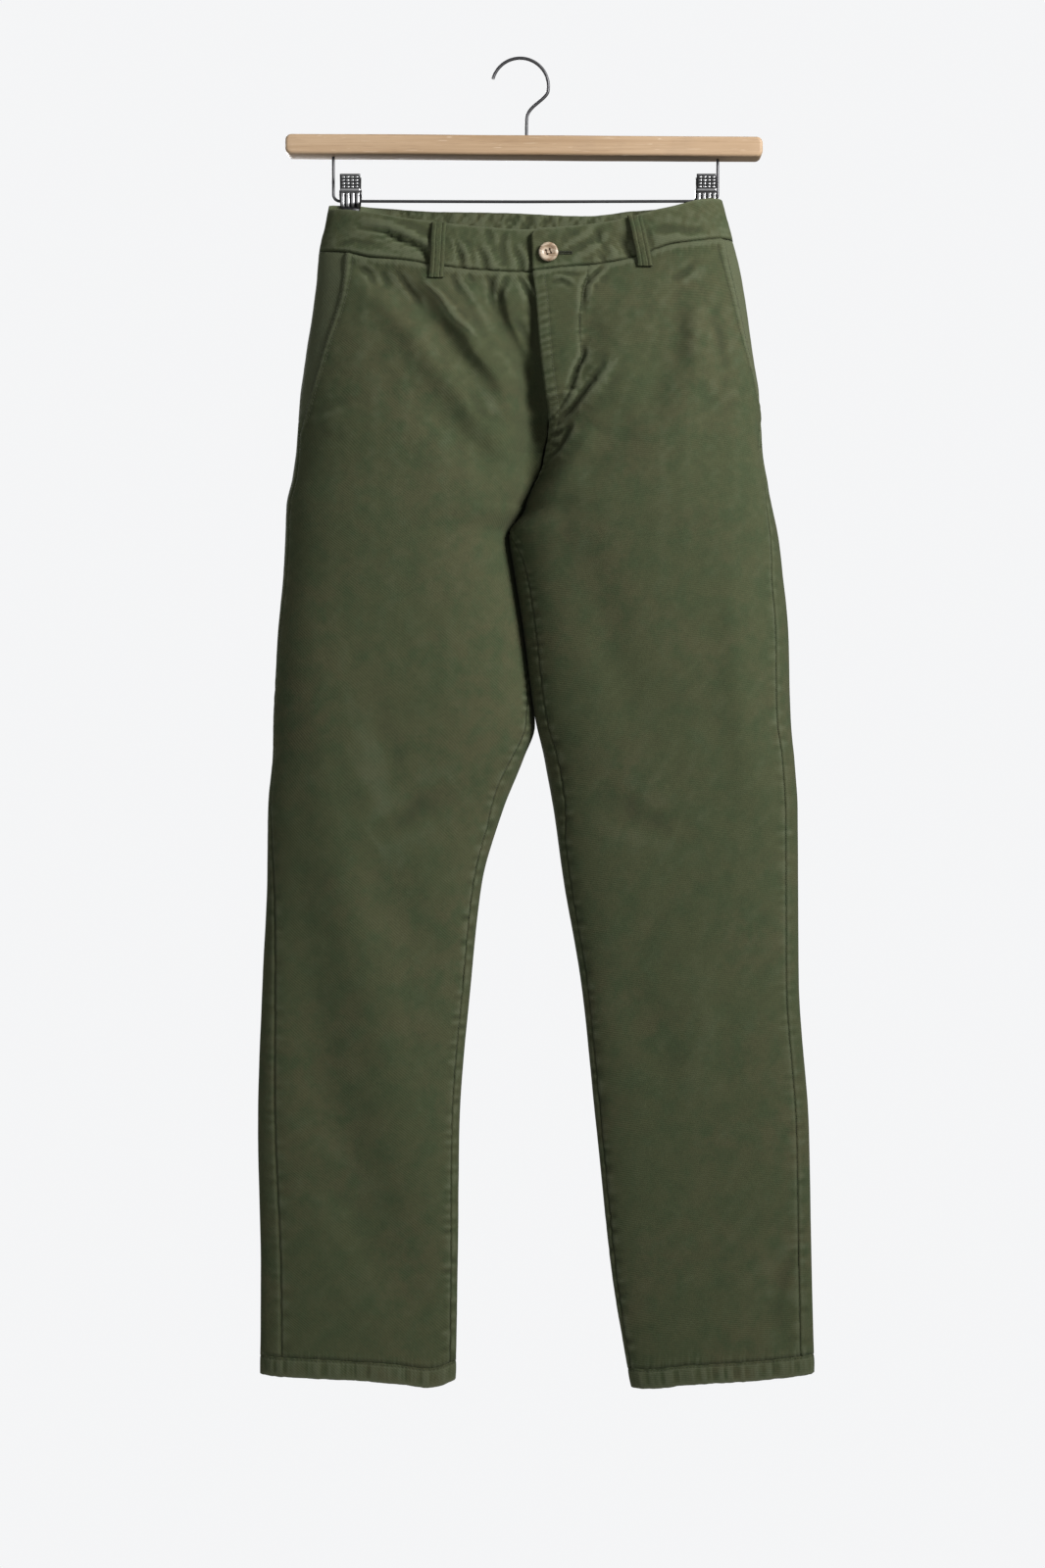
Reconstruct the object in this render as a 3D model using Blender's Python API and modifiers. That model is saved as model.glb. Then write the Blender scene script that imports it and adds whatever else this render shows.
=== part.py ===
"""Chino trousers hanging by the waistband from a wooden clip hanger.

Right and left are the wearer's, so the right leg lies at -X. The front faces -Y and Z points up.
The origin is the top of the inner bend of the hanger's hook. Sizes are in millimetres until a mesh
is made, and a drop is a distance below the origin.
"""

import math
from bisect import bisect_right
from collections import namedtuple

import bmesh
import bpy
from mathutils import Matrix, Vector

MM = 0.001
RIGHT, LEFT = -1, 1
FRONT, BACK = -1, 1

# Cloth and sewing
CLOTH = 1.2  # one layer of twill
POCKETING = 1.0
POCKET_GAP = 0.45
BAND_WALL = 2.2  # folded and interfaced twill
HEM_WALL = 2.6  # turned up twice
GAP = 0.3  # between any two pieces
HEM_HEIGHT = 17.5
ROUNDNESS = 0.87  # exponent of the sections: 1 is an ellipse, 0 a rectangle
CROTCH = 395.0
LEAN = 0.22  # how far the slit between the thighs turns away from straight back
LEAN_REACH = 14.0

# Sections of each leg: edges across, the depth of the inner edge, and the largest depths
# of its front, its outer side and its back.
Section = namedtuple("Section", "drop inner outer inner_y front side back")
RIGHT_LEG = [
    Section(122, 3.0, -170.0, 4, -31, -5, 11),
    Section(150, 3.0, -175.5, 4, -33, -5, 12),
    Section(172, 3.0, -180.5, 4, -35, -4, 14),
    Section(195, 3.0, -182.5, 4, -38, -2, 19),
    Section(228, 3.0, -187.0, 4, -44, 0, 27),
    Section(262, 3.0, -192.5, 4, -50, 0, 34),
    Section(300, 3.0, -197.5, 4, -55, 0, 40),
    Section(345, 3.0, -200.5, 4, -59, 0, 45),
    Section(395, 3.0, -207.0, 4, -59, 0, 47),
    Section(421, -12.0, -208.0, 4, -57, 0, 46),
    Section(450, -8.0, -209.5, 4, -54, 0, 44),
    Section(509, 1.2, -215.0, 4, -49, 0, 40),
    Section(553, 6.6, -217.5, 4, -46, 0, 37),
    Section(588, 10.0, -219.5, 4, -43, 0, 35),
    Section(618, 0.0, -221.5, 4, -41, 0, 33),
    Section(661, -17.3, -225.5, 4, -38, 0, 30),
    Section(727, -36.4, -226.5, 0, -34, 0, 27),
    Section(813, -45.9, -230.5, 0, -30, 0, 26),
    Section(943, -56.3, -234.5, 0, -25, 0, 22),
    Section(1073, -58.0, -232.0, 0, -21, 0, 19),
    Section(1180, -60.0, -233.0, 0, -18, 0, 16),
]
LEFT_LEG = [
    Section(122, 3.0, 174.0, 4, -36, -5, 11),
    Section(150, 3.0, 181.5, 4, -37, -5, 12),
    Section(172, 3.0, 187.5, 4, -38, -4, 14),
    Section(195, 3.0, 193.0, 4, -40, -2, 19),
    Section(228, 3.0, 198.3, 4, -45, 0, 27),
    Section(262, 3.0, 203.5, 4, -50, 0, 34),
    Section(296, 3.0, 208.5, 4, -54, 0, 40),
    Section(345, 3.0, 210.5, 4, -58, 0, 45),
    Section(395, 3.0, 220.0, 4, -59, 0, 47),
    Section(421, -12.0, 225.5, 4, -57, 0, 46),
    Section(450, -8.0, 229.0, 4, -54, 0, 44),
    Section(509, 1.2, 234.7, 4, -49, 0, 40),
    Section(553, 6.6, 235.6, 4, -46, 0, 37),
    Section(588, 11.8, 237.0, 4, -43, 0, 35),
    Section(618, 18.2, 239.0, 4, -41, 0, 33),
    Section(661, 26.0, 242.0, 2, -38, 0, 30),
    Section(727, 35.5, 242.5, 0, -34, 0, 27),
    Section(813, 50.2, 243.0, 0, -30, 0, 26),
    Section(943, 64.1, 252.0, 0, -25, 0, 22),
    Section(1073, 77.9, 254.6, 0, -21, 0, 19),
    Section(1180, 96.0, 257.5, 0, -18, 0, 16),
]

# Above the crotch: how far the fly edge lies to the side of the centre line, how deep the front and
# the seat seams curve away from the crotch's depth, and how far the right front runs on under the
# left one, and how far behind its face.
Rise = namedtuple("Rise", "drop fly front seat lap under")
RISE = [
    Rise(122, 3.0, 40, 7, 18, 4.4),
    Rise(150, 3.5, 41, 8, 18, 4.4),
    Rise(172, 4.0, 42, 10, 16, 4.4),
    Rise(195, 4.7, 43, 15, 8, 4.4),
    Rise(214, 7.0, 44, 19, 8, 4.4),
    Rise(257, 10.5, 44, 26, 8, 4.4),
    Rise(299, 15.5, 40, 31, 8, 4.4),
    Rise(314, 18.0, 35, 32, 6, 4.4),
    Rise(328, 18.0, 31, 32, 0, 3.0),
    Rise(350, 15.0, 23, 30, 0, 0.0),
    Rise(361, 13.0, 18, 27, 0, 0.0),
    Rise(374, 7.5, 11, 20, 0, 0.0),
    Rise(386, 3.0, 5, 11, 0, 0.0),
    Rise(395, 0.0, 0, 0, 0, 0.0),
]
FLAT_RISE = 330.0  # the fronts meet at a shallow angle above this, and roll under below it

# How far each seam lies in from the edge of the leg, on its front face (negative: on its back face),
# and the slanted pocket edge.
Seam = namedtuple("Seam", "drop inseam outseam")
RIGHT_SEAMS = [
    Seam(172, 0.0, -5.0),
    Seam(300, 0.0, -3.0),
    Seam(338, 0.0, 3.0),
    Seam(395, 0.0, 5.0),
    Seam(450, -2.0, 5.0),
    Seam(553, 1.0, 2.0),
    Seam(588, 5.0, 1.5),
    Seam(640, 12.0, 2.0),
    Seam(683, 8.0, 4.0),
    Seam(727, 7.0, 7.0),
    Seam(813, 6.5, 12.0),
    Seam(986, 6.0, 17.0),
    Seam(1180, 4.5, 20.0),
]
LEFT_SEAMS = [
    Seam(172, 0.0, -6.0),
    Seam(300, 0.0, -3.0),
    Seam(330, 0.0, 1.0),
    Seam(395, 0.0, 4.0),
    Seam(411, 0.0, 5.5),
    Seam(440, 10.0, 7.5),
    Seam(468, 13.0, 10.0),
    Seam(553, 12.0, 11.0),
    Seam(653, 11.0, 12.0),
    Seam(694, 6.0, 12.0),
    Seam(813, 5.0, 12.0),
    Seam(1073, 3.5, 12.0),
    Seam(1180, 2.0, 13.0),
]
Mouth = namedtuple("Mouth", "drop inset")
RIGHT_MOUTH = [Mouth(160, 25.5), Mouth(212, 24), Mouth(258, 16.6), Mouth(288, 12), Mouth(338, 3)]
LEFT_MOUTH = [Mouth(160, 8), Mouth(192, 10), Mouth(244, 6.3), Mouth(282, 3.2), Mouth(310, 1.5)]

# The waistband's top edge and the seam below it, across the front and across the back
Waist = namedtuple("Waist", "x top seam")
WAIST_FRONT = [
    Waist(-180, 134.0, 171.5),
    Waist(-156, 136.5, 174.5),
    Waist(-133, 140.5, 180.0),
    Waist(-107, 145.3, 182.7),
    Waist(-80, 149.0, 187.0),
    Waist(-50, 152.5, 191.0),
    Waist(0, 156.0, 193.5),
    Waist(29, 154.7, 190.5),
    Waist(65, 151.3, 187.0),
    Waist(98, 144.5, 180.5),
    Waist(115, 139.5, 174.0),
    Waist(130, 136.0, 169.0),
    Waist(155, 128.5, 165.0),
    Waist(170, 126.0, 162.5),
    Waist(185, 125.5, 161.5),
]
WAIST_BACK = [
    Waist(-180, 134.0, 171.5),
    Waist(-168, 129.0, 170.5),
    Waist(-127, 129.5, 170.0),
    Waist(-80, 132.0, 171.0),
    Waist(-20, 133.0, 172.0),
    Waist(57, 136.0, 174.0),
    Waist(98, 131.5, 170.0),
    Waist(135, 129.5, 166.0),
    Waist(165, 128.5, 163.0),
    Waist(185, 125.5, 161.5),
]
WAIST_LEVEL = 180.0  # the level that the slanted waist seam is drawn up or down from
WAIST_FADE = 90.0  # rows below the waist are level again after this far

# The hem's lower edge across each leg, 0 at the inseam and 1 at the outseam
Hem = namedtuple("Hem", "across right left")
HEM = [Hem(0.0, 1166, 1173), Hem(0.13, 1171, 1172), Hem(0.3, 1167, 1168), Hem(0.6, 1163, 1165), Hem(1.0, 1161, 1160)]
HEM_LEVEL = 1165.0
HEM_FADE = 60.0

# Creases in the cloth: ridges stand out by their height and troughs sink by it. Each runs along its
# points (across, drop) and is as wide as the half width says.
Crease = namedtuple("Crease", "height half_width path")
FRONT_CREASES = [
    Crease(-11, 12, [(-107, 196), (-98, 215), (-74, 245), (-55, 263), (-37, 293), (-25, 324)]),
    Crease(-4, 11, [(-153, 188), (-128, 200), (-113, 211), (-92, 226)]),
    Crease(6, 15, [(-151, 200), (-116, 221), (-89, 248), (-76, 278), (-55, 308), (-25, 335)]),
    Crease(-7, 17, [(-76, 296), (-62, 327), (-43, 345), (-13, 385)]),
    Crease(7, 13, [(-76, 215), (-49, 236), (-25, 260), (-9, 282), (-8, 308)]),
    Crease(-6, 11, [(-28, 200), (-22, 227), (-13, 257), (0, 278)]),
    Crease(-7, 15, [(136, 200), (132, 257), (121, 281), (108, 314), (84, 335), (48, 366)]),
    Crease(-6, 14, [(176, 248), (163, 323), (160, 364)]),
    Crease(5, 15, [(150, 217), (151, 300)]),
    Crease(-5, 11, [(61, 238), (51, 272), (40, 300), (32, 322)]),
    Crease(6, 14, [(62, 330), (38, 362), (22, 385)]),
    Crease(6, 24, [(-188, 462), (-175, 598), (-161, 699), (-137, 801), (-114, 890), (-87, 985), (-66, 1040)]),
    Crease(-6, 20, [(-209, 699), (-188, 815), (-175, 903), (-148, 985), (-107, 1073), (-87, 1134)]),
    Crease(-4, 20, [(-134, 720), (-93, 776), (-62, 801)]),
    Crease(-5, 16, [(42, 408), (63, 475), (84, 540), (104, 585)]),
    Crease(4, 16, [(185, 441), (192, 555), (199, 665)]),
    Crease(-4, 18, [(117, 754), (92, 815), (118, 890)]),
    Crease(-5, 16, [(239, 1025), (219, 1093), (202, 1130)]),
]
# The deep fold beside the fly: the left front stands over it, until the two fronts are sewn together
FLY_FOLD = Crease(-20, 13, [(-4, 236), (1, 272), (3, 300), (6, 335), (3, 368), (-4, 398)])
FLY_SEWN = (306.0, 340.0)
BACK_CREASES = [
    Crease(-7, 14, [(-153, 110), (-153, 176)]),
    Crease(-7, 14, [(161, 110), (161, 172)]),
    Crease(-5, 13, [(-22, 352), (-60, 318), (-104, 282), (-136, 240)]),
    Crease(-5, 13, [(30, 350), (66, 312), (108, 276), (148, 236)]),
    Crease(-4, 14, [(-40, 420), (-92, 432), (-150, 424)]),
    Crease(-4, 14, [(34, 424), (96, 438), (166, 428)]),
    Crease(-4, 16, [(-60, 462), (-108, 478), (-160, 470)]),
    Crease(4, 18, [(-120, 560), (-140, 690), (-128, 800)]),
    Crease(4, 18, [(120, 540), (134, 680), (150, 800)]),
    Crease(-4, 18, [(-90, 760), (-130, 800), (-176, 812)]),
    Crease(-4, 18, [(92, 780), (136, 812), (190, 820)]),
    Crease(-4, 18, [(-110, 900), (-150, 1010), (-190, 1090)]),
    Crease(-4, 18, [(130, 900), (168, 1020), (206, 1090)]),
]
# Puckers of the waistband: place along its top and its lower edge
Pucker = namedtuple("Pucker", "top seam depth half_width")
BAND_PUCKERS = [
    Pucker(-64, -56, 2.0, 3.2),
    Pucker(-53, -45, 2.2, 3.2),
    Pucker(-41, -34, 2.0, 3.4),
    Pucker(-27, -22, 2.2, 3.2),
    Pucker(-6, -2, 1.8, 3.2),
    Pucker(61, 58, 1.6, 4.0),
    Pucker(80, 76, 1.4, 4.0),
]
BAND_ROLL = Crease(-2.5, 4, [(-132, 147), (-118, 154), (-100, 162), (-88, 172), (-84, 181)])
BAND_LEVEL = 165.0  # the level that its turns are measured at
TAB_CORNER = 9.0  # the rounded corner of the overlap tab
TAB_CORNER_DROP = 5.0
GATHERS = 20  # of the back waistband, between its two clips
GATHER_DEPTH = 1.4
HEM_PUCKERS = 22  # round each hem
HEM_PUCKER_DEPTH = 0.7

# The fly's strips behind the left front: their ends, their walls and where their columns stand,
# measured from the fly edge
FLY_TOP, FLY_BOTTOM = 197.0, 308.0
FLY_GAP = 0.6
ZIP_WALL = 1.0
ZIP_STATIONS = (3.0, 10.0, 16.0, 22.0)
SHIELD_STATIONS = (10.0, 16.0, 22.0, 31.0, 40.0)

# Belt loops: place of the middle of the top end and of the lower end, and the face that they are on
Loop = namedtuple("Loop", "name face top_x foot_x")
LOOPS = [
    Loop("belt_loop_front_right", FRONT, -73.5, -76.0),
    Loop("belt_loop_front_left", FRONT, 97.0, 106.0),
    Loop("belt_loop_back_right", BACK, -112.0, -112.0),
    Loop("belt_loop_back_centre", BACK, 3.0, 3.0),
    Loop("belt_loop_back_left", BACK, 118.0, 118.0),
]
LOOP_WIDTH = 12.0
LOOP_WALL = 1.8
LOOP_FOOT = 12.0  # below the waist seam
LOOP_STAND = 3.2  # how far its middle stands off the band

BUTTON_X = 21.7
BUTTON_DROP = 177.2
BUTTON_RADIUS = 8.5
BUTTON_HEIGHT = 3.2
BUTTON_HOLE = 0.9
BUTTON_HOLE_SPREAD = 1.9

# The hanger
BAR_ENDS = (-209.6, 210.4)
BAR_TOP = 67.8
BAR_TILT = 2.6  # its left end hangs this much lower than its right one
BAR_HEIGHT = 17.8
BAR_DEPTH = 25.5
HOOK_WIRE = 1.45
HOOK_CENTRE = (-3.0, 23.55)
HOOK_RADIUS = 25.0
HOOK_STEM_X = 2.6
FRAME_WIRE = 1.3
FRAME_LEGS = (-168.0, 171.5)
FRAME_DROP = 125.0
FRAME_CORNER = 6.0
CLIP_PLACES = (-152.8, 161.5)
ROLL_PLACES = (-152.8, 156.0)
CLIP_TOP = 102.5
JAW_TOP = 132.0
CLIP_TIP = 147.0
CLIP_DROPS = [CLIP_TOP, 109, 116, 122, 127, JAW_TOP, 137, 142, CLIP_TIP]
CLIP_WIDTH = 18.0
JAW_WIDTH = 13.0
CLIP_WALL = 1.1
CLIP_FLARE = 9.0
ROLL_RADIUS = 2.7
ROLL_LENGTH = 10.0

# Mesh density
FRONT_COLUMNS, BACK_COLUMNS = 20, 10
POCKET_COLUMNS = 8  # of the front's columns, counted from the pocket's mouth
FACING_COLUMNS = 2
HEM_COLUMNS = 66
BAND_ROWS = 3
BACK_BAND_COLUMNS = 104
FLY_ROWS = 10
LOOP_ROWS = 8
PANEL_SPANS = [(180, 320, 11), (320, 395, 7), (395, 425, 2), (425, 480, 3), (480, 660, 4), (660, 1147.5, 9)]
SAMPLES = 120  # points measured along a section before it is divided
BEND_WEIGHT = 35.0  # a turn of one radian draws as many columns as this length of flat cloth


def smoothstep(start, end, value):
    t = min(max((value - start) / (end - start), 0.0), 1.0)
    return t * t * (3 - 2 * t)


def mix(a, b, t):
    return a + (b - a) * t


def looked_up(value, places, values):
    """The value at a place, on straight lines between the values at rising places."""
    cell = min(max(bisect_right(places, value) - 1, 0), len(places) - 2)
    t = (value - places[cell]) / (places[cell + 1] - places[cell])
    return mix(values[cell], values[cell + 1], t)


def track(rows, column, key="drop"):
    """A smooth curve through one column of a table, which never runs past its values."""
    places = [getattr(row, key) for row in rows]
    values = [getattr(row, column) for row in rows]
    steps = [after - before for before, after in zip(places, places[1:])]
    slopes = [(after - before) / step for before, after, step in zip(values, values[1:], steps)]
    tangents = [slopes[0]]
    for before, after in zip(slopes, slopes[1:]):
        tangents.append(2 * before * after / (before + after) if before * after > 0 else 0.0)
    tangents.append(slopes[-1])

    def at(place):
        place = min(max(place, places[0]), places[-1])
        cell = min(bisect_right(places, place) - 1, len(steps) - 1)
        t = (place - places[cell]) / steps[cell]
        level = mix(values[cell], values[cell + 1], t * t * (3 - 2 * t))
        lean = tangents[cell] * t * (1 - t) ** 2 - tangents[cell + 1] * t * t * (1 - t)
        return level + lean * steps[cell]

    return at


def crease_height(crease, x, drop):
    """How far one crease moves the cloth out at a place."""
    nearest, best = None, 1e9
    travelled = 0.0
    for (ax, az), (bx, bz) in zip(crease.path, crease.path[1:]):
        length = math.hypot(bx - ax, bz - az)
        t = ((x - ax) * (bx - ax) + (drop - az) * (bz - az)) / length**2
        t = min(max(t, 0.0), 1.0)
        distance = math.hypot(x - mix(ax, bx, t), drop - mix(az, bz, t))
        if distance < best:
            best = distance
            nearest = travelled + t * length
        travelled += length
    if best > 3 * crease.half_width:
        return 0.0
    ends = math.sin(math.pi * mix(0.12, 0.88, nearest / travelled)) ** 0.7
    return crease.height * ends * math.exp(-((best / crease.half_width) ** 2))


def creases(rows, x, drop):
    return sum(crease_height(crease, x, drop) for crease in rows)


RISE_AT = {column: track(RISE, column) for column in ("fly", "front", "seat", "lap", "under")}
WAIST_AT = {
    face: {column: track(rows, column, "x") for column in ("top", "seam")}
    for face, rows in ((FRONT, WAIST_FRONT), (BACK, WAIST_BACK))
}


def face_of(turn):
    """Turns run from 0 to 1; a seam just past either end lies on the other face."""
    return FRONT if 0 <= turn <= 0.5 or turn > 1 else BACK


class Leg:
    """The outer face of one half of the trousers. A turn goes once round the leg: 0 at its inner
    edge, 0.5 at its outer edge by way of the front, and 1 at the inner edge again."""

    def __init__(self, side, sections, seams, mouth):
        self.side = side
        for column in ("inner", "outer", "inner_y", "front", "side", "back"):
            setattr(self, column + "_at", track(sections, column))
        self.inseam_at = track(seams, "inseam")
        self.outseam_at = track(seams, "outseam")
        self.mouth_at = track(mouth, "inset")
        self.mouth_end = mouth[-1].drop
        self.hem_at = track(HEM, "right" if side == RIGHT else "left", "across")
        self.over = None  # the leg whose front laps over this one

    def inner_x(self, face, drop):
        """Place of the inner edge: the fly and the seat seam above the crotch."""
        x = self.inner_at(drop) + self.side * 0.7 * GAP
        if face == FRONT:
            x += RISE_AT["fly"](drop)
            if self.over:
                x += RISE_AT["lap"](drop)
        return x

    def inner_depth(self, face, drop):
        y = self.inner_y_at(drop)
        if face == BACK:
            return y + RISE_AT["seat"](drop)
        if self.over is None or drop > CROTCH:
            return y - RISE_AT["front"](drop)
        x = self.inner_x(face, drop)
        return self.over.at_x(x, FRONT, drop, creased=False).y + RISE_AT["under"](drop)

    def span(self, face, drop):
        """The middle of a section and its signed half width."""
        inner, outer = self.inner_x(face, drop), self.outer_at(drop)
        return (inner + outer) / 2, (outer - inner) / 2

    def turn_at_x(self, x, face, drop):
        middle, half = self.span(face, drop)
        across = min(max((middle - x) / half, -1.0), 1.0)
        angle = math.acos(math.copysign(abs(across) ** (1 / ROUNDNESS), across))
        turn = angle / math.tau
        return turn if face == FRONT else 1 - turn

    def point(self, turn, drop, creased=True):
        angle = math.tau * turn
        cosine, sine = math.cos(angle), math.sin(angle)
        face = face_of(turn)
        middle, half = self.span(face, drop)
        across = math.copysign(abs(cosine) ** ROUNDNESS, cosine)
        x = middle - half * across
        fullness = abs(sine) ** ROUNDNESS
        edge_y = self.side_at(drop)
        if cosine > 0:
            edge_y = self.inner_depth(face, drop)
            fullness = mix(1 - across**2, fullness, smoothstep(FLAT_RISE, CROTCH, drop))
        deepest = self.front_at(drop) if face == FRONT else self.back_at(drop)
        y = mix(edge_y, deepest, fullness)
        if creased:
            relief = creases(FRONT_CREASES if face == FRONT else BACK_CREASES, x, drop)
            if face == FRONT:
                shared = 1.0 if self.over else smoothstep(*FLY_SEWN, drop)
                relief += shared * crease_height(FLY_FOLD, x, drop)
            fading = math.sqrt(abs(sine))
            if cosine > 0:
                fading = mix(1.0, fading, smoothstep(FLAT_RISE, CROTCH, drop))
            y += face * relief * fading
        lean = LEAN * smoothstep(370, CROTCH, drop) * (1 - smoothstep(580, 620, drop))
        x += lean * LEAN_REACH * math.tanh((y - self.inner_y_at(CROTCH)) / LEAN_REACH)
        return Vector((x, y, -drop))

    def at_x(self, x, face, drop, creased=True):
        return self.point(self.turn_at_x(x, face, drop), drop, creased)

    def outward(self, turn, drop):
        """The direction straight out of the cloth."""
        step = 0.004
        before, after = turn - step, turn + step
        if drop < CROTCH:
            before, after = max(before, 0.0), min(after, 1.0)
        along = self.point(after, drop) - self.point(before, drop)
        down = self.point(turn, drop + 1) - self.point(turn, drop - 1)
        return along.cross(down).normalized() * -self.side

    def raised(self, turn, drop, height):
        return self.point(turn, drop) + self.outward(turn, drop) * height

    def edge_turn(self, edge, inset, drop):
        """The turn of a seam that lies in from the leg's edge, on its front or its back face."""
        face = FRONT if inset >= 0 else BACK
        if edge == "outer":
            return self.turn_at_x(self.outer_at(drop) - self.side * abs(inset), face, drop)
        middle, half = self.span(face, drop)
        turn = self.turn_at_x(middle - half + self.side * abs(inset), face, drop)
        return turn if inset >= 0 else turn - 1

    def inner_turn(self, drop):
        return self.edge_turn("inner", self.inseam_at(drop) if drop > CROTCH else 0.0, drop)

    def seam_turn(self, drop):
        return self.edge_turn("outer", self.outseam_at(drop), drop)

    def mouth_turn(self, drop):
        """The front panel's outer edge: the slanted pocket, and the side seam below it."""
        if drop > self.mouth_end:
            return self.seam_turn(drop)
        return self.edge_turn("outer", self.mouth_at(drop), drop)

    def settle(self, turn, drop, rule):
        """The drop at which rule(x) holds for the place that the turn has at that drop."""
        for _ in range(3):
            drop = rule(self.point(turn, drop).x)
        return drop

    def drop_of(self, turn, level):
        """The drop of a row at one turn, slanted to follow the waist seam and the hem."""
        seam_at = WAIST_AT[face_of(turn)]["seam"]
        fade = 1 - smoothstep(WAIST_LEVEL, WAIST_LEVEL + WAIST_FADE, level)
        low = HEM_LEVEL - HEM_HEIGHT
        rise = smoothstep(low - HEM_FADE, low, level)
        inner, outer = self.inner_at(level), self.outer_at(level)

        def slanted(x):
            hem = self.hem_at((x - inner) / (outer - inner)) - HEM_LEVEL
            return level + (seam_at(x) - WAIST_LEVEL) * fade + hem * rise

        return self.settle(turn, level, slanted)

    def spread(self, start, end, level, columns, closed=False):
        """Turns that divide the cloth between two turns, half a gap in from each."""
        turns = [mix(start, end, step / SAMPLES) for step in range(SAMPLES + 1)]
        points = [self.point(turn, level) for turn in turns]
        lengths, weights = [0.0], [0.0]
        run = points[1] - points[0]
        for before, after in zip(points, points[1:]):
            turned_by = run.angle(after - before, 0.0)
            run = after - before
            lengths.append(lengths[-1] + run.length)
            weights.append(weights[-1] + run.length + BEND_WEIGHT * turned_by)
        margin = 0.0 if closed else GAP / 2
        first = looked_up(margin, lengths, weights)
        last = looked_up(lengths[-1] - margin, lengths, weights)
        targets = [mix(first, last, column / columns) for column in range(columns + 1)]
        return [looked_up(target, weights, turns) for target in targets]


RIGHT_HALF = Leg(RIGHT, RIGHT_LEG, RIGHT_SEAMS, RIGHT_MOUTH)
LEFT_HALF = Leg(LEFT, LEFT_LEG, LEFT_SEAMS, LEFT_MOUTH)
RIGHT_HALF.over = LEFT_HALF
HALVES = {"right": RIGHT_HALF, "left": LEFT_HALF}


def finish_material(name, colour, roughness, metallic=0.0):
    material = bpy.data.materials.new(name)
    material.use_nodes = True
    shader = material.node_tree.nodes["Principled BSDF"]
    shader.inputs["Base Color"].default_value = (*colour, 1.0)
    shader.inputs["Roughness"].default_value = roughness
    shader.inputs["Metallic"].default_value = metallic
    return material


def add_piece(collection, name, mesh, material, smooth=True):
    mesh.name = name
    mesh.materials.append(material)
    if smooth:
        mesh.shade_smooth()
    piece = bpy.data.objects.new(name, mesh)
    collection.objects.link(piece)
    return piece


def add_wall(piece, wall):
    solidify = piece.modifiers.new("Wall", "SOLIDIFY")
    solidify.thickness = wall * MM
    solidify.offset = -1
    solidify.use_even_offset = True


def add_cloth(collection, name, rows, wall, material, outward=LEFT, closed=False):
    """A sheet through rows of points, top row first, with its wall on the inner side."""
    across, down = len(rows[0]) - 1, len(rows) - 1
    sheet = bmesh.new()
    bmesh.ops.create_grid(sheet, x_segments=across, y_segments=down, size=0.5)
    for vert in sheet.verts:
        column = round((vert.co.x + 0.5) * across)
        row = round((0.5 - vert.co.y) * down)
        vert.co = rows[row][column] * MM
    if closed:
        bmesh.ops.remove_doubles(sheet, verts=sheet.verts, dist=0.00001)
    if outward == RIGHT:
        bmesh.ops.reverse_faces(sheet, faces=sheet.faces)
    mesh = bpy.data.meshes.new(name)
    sheet.to_mesh(mesh)
    sheet.free()
    piece = add_piece(collection, name, mesh, material)
    add_wall(piece, wall)
    return piece


Spot = namedtuple("Spot", "half turn drop out")


def add_shell(collection, name, rows, wall, material, closed=False):
    """A wall whose outer face runs through rows of spots on the cloth, top row first."""
    across, down = len(rows[0]) - 1, len(rows) - 1
    outer = [[spot.half.raised(spot.turn, spot.drop, spot.out) for spot in row] for row in rows]
    inner = [[spot.half.raised(spot.turn, spot.drop, spot.out - wall) for spot in row] for row in rows]
    shell = bmesh.new()
    column_of = shell.verts.layers.int.new("column")
    row_of = shell.verts.layers.int.new("row")
    bmesh.ops.create_grid(shell, x_segments=across, y_segments=down, size=0.5)
    for vert in shell.verts:
        vert[column_of] = round((vert.co.x + 0.5) * across)
        vert[row_of] = round((0.5 - vert.co.y) * down)
        if closed:
            angle = math.tau * vert[column_of] / across
            vert.co = Vector((math.cos(angle), math.sin(angle), vert[row_of]))
    if closed:
        bmesh.ops.remove_doubles(shell, verts=shell.verts, dist=0.0001)
    grown = bmesh.ops.extrude_face_region(shell, geom=shell.faces[:], use_keep_orig=True)
    inside = {vert for vert in grown["geom"] if isinstance(vert, bmesh.types.BMVert)}
    for vert in shell.verts:
        points = inner if vert in inside else outer
        vert.co = points[vert[row_of]][vert[column_of]] * MM
    bmesh.ops.recalc_face_normals(shell, faces=shell.faces)
    mesh = bpy.data.meshes.new(name)
    shell.to_mesh(mesh)
    shell.free()
    piece = add_piece(collection, name, mesh, material)
    piece.data.set_sharp_from_angle(angle=math.radians(70))
    return piece


def levels_of(spans):
    """Levels of the rows, closer together where the cloth turns most."""
    levels = [spans[0][0]]
    for top, bottom, rows in spans:
        levels += [mix(top, bottom, (row + 1) / rows) for row in range(rows)]
    return levels


def panel_rows(half, face, levels, columns):
    """The gap of the waist seam, and of the hem's top, comes off the ends."""
    rows = []
    for level in levels:
        start, end = half.inner_turn(level), half.mouth_turn(level)
        if face == BACK:
            start, end = half.seam_turn(level), 1 + half.inner_turn(level)
        trim = GAP / 2 * (level == levels[0]) - 1.5 * GAP * (level == levels[-1])
        turns = half.spread(start, end, level, columns)
        rows.append([Spot(half, turn, half.drop_of(turn, level) + trim, 0.0) for turn in turns])
    return rows


def add_panels(collection, material):
    levels = levels_of(PANEL_SPANS)
    for side, half in HALVES.items():
        for word, face, columns in (("front", FRONT, FRONT_COLUMNS), ("back", BACK, BACK_COLUMNS)):
            rows = panel_rows(half, face, levels, columns)
            add_shell(collection, f"{word}_{side}", rows, CLOTH, material)


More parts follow.
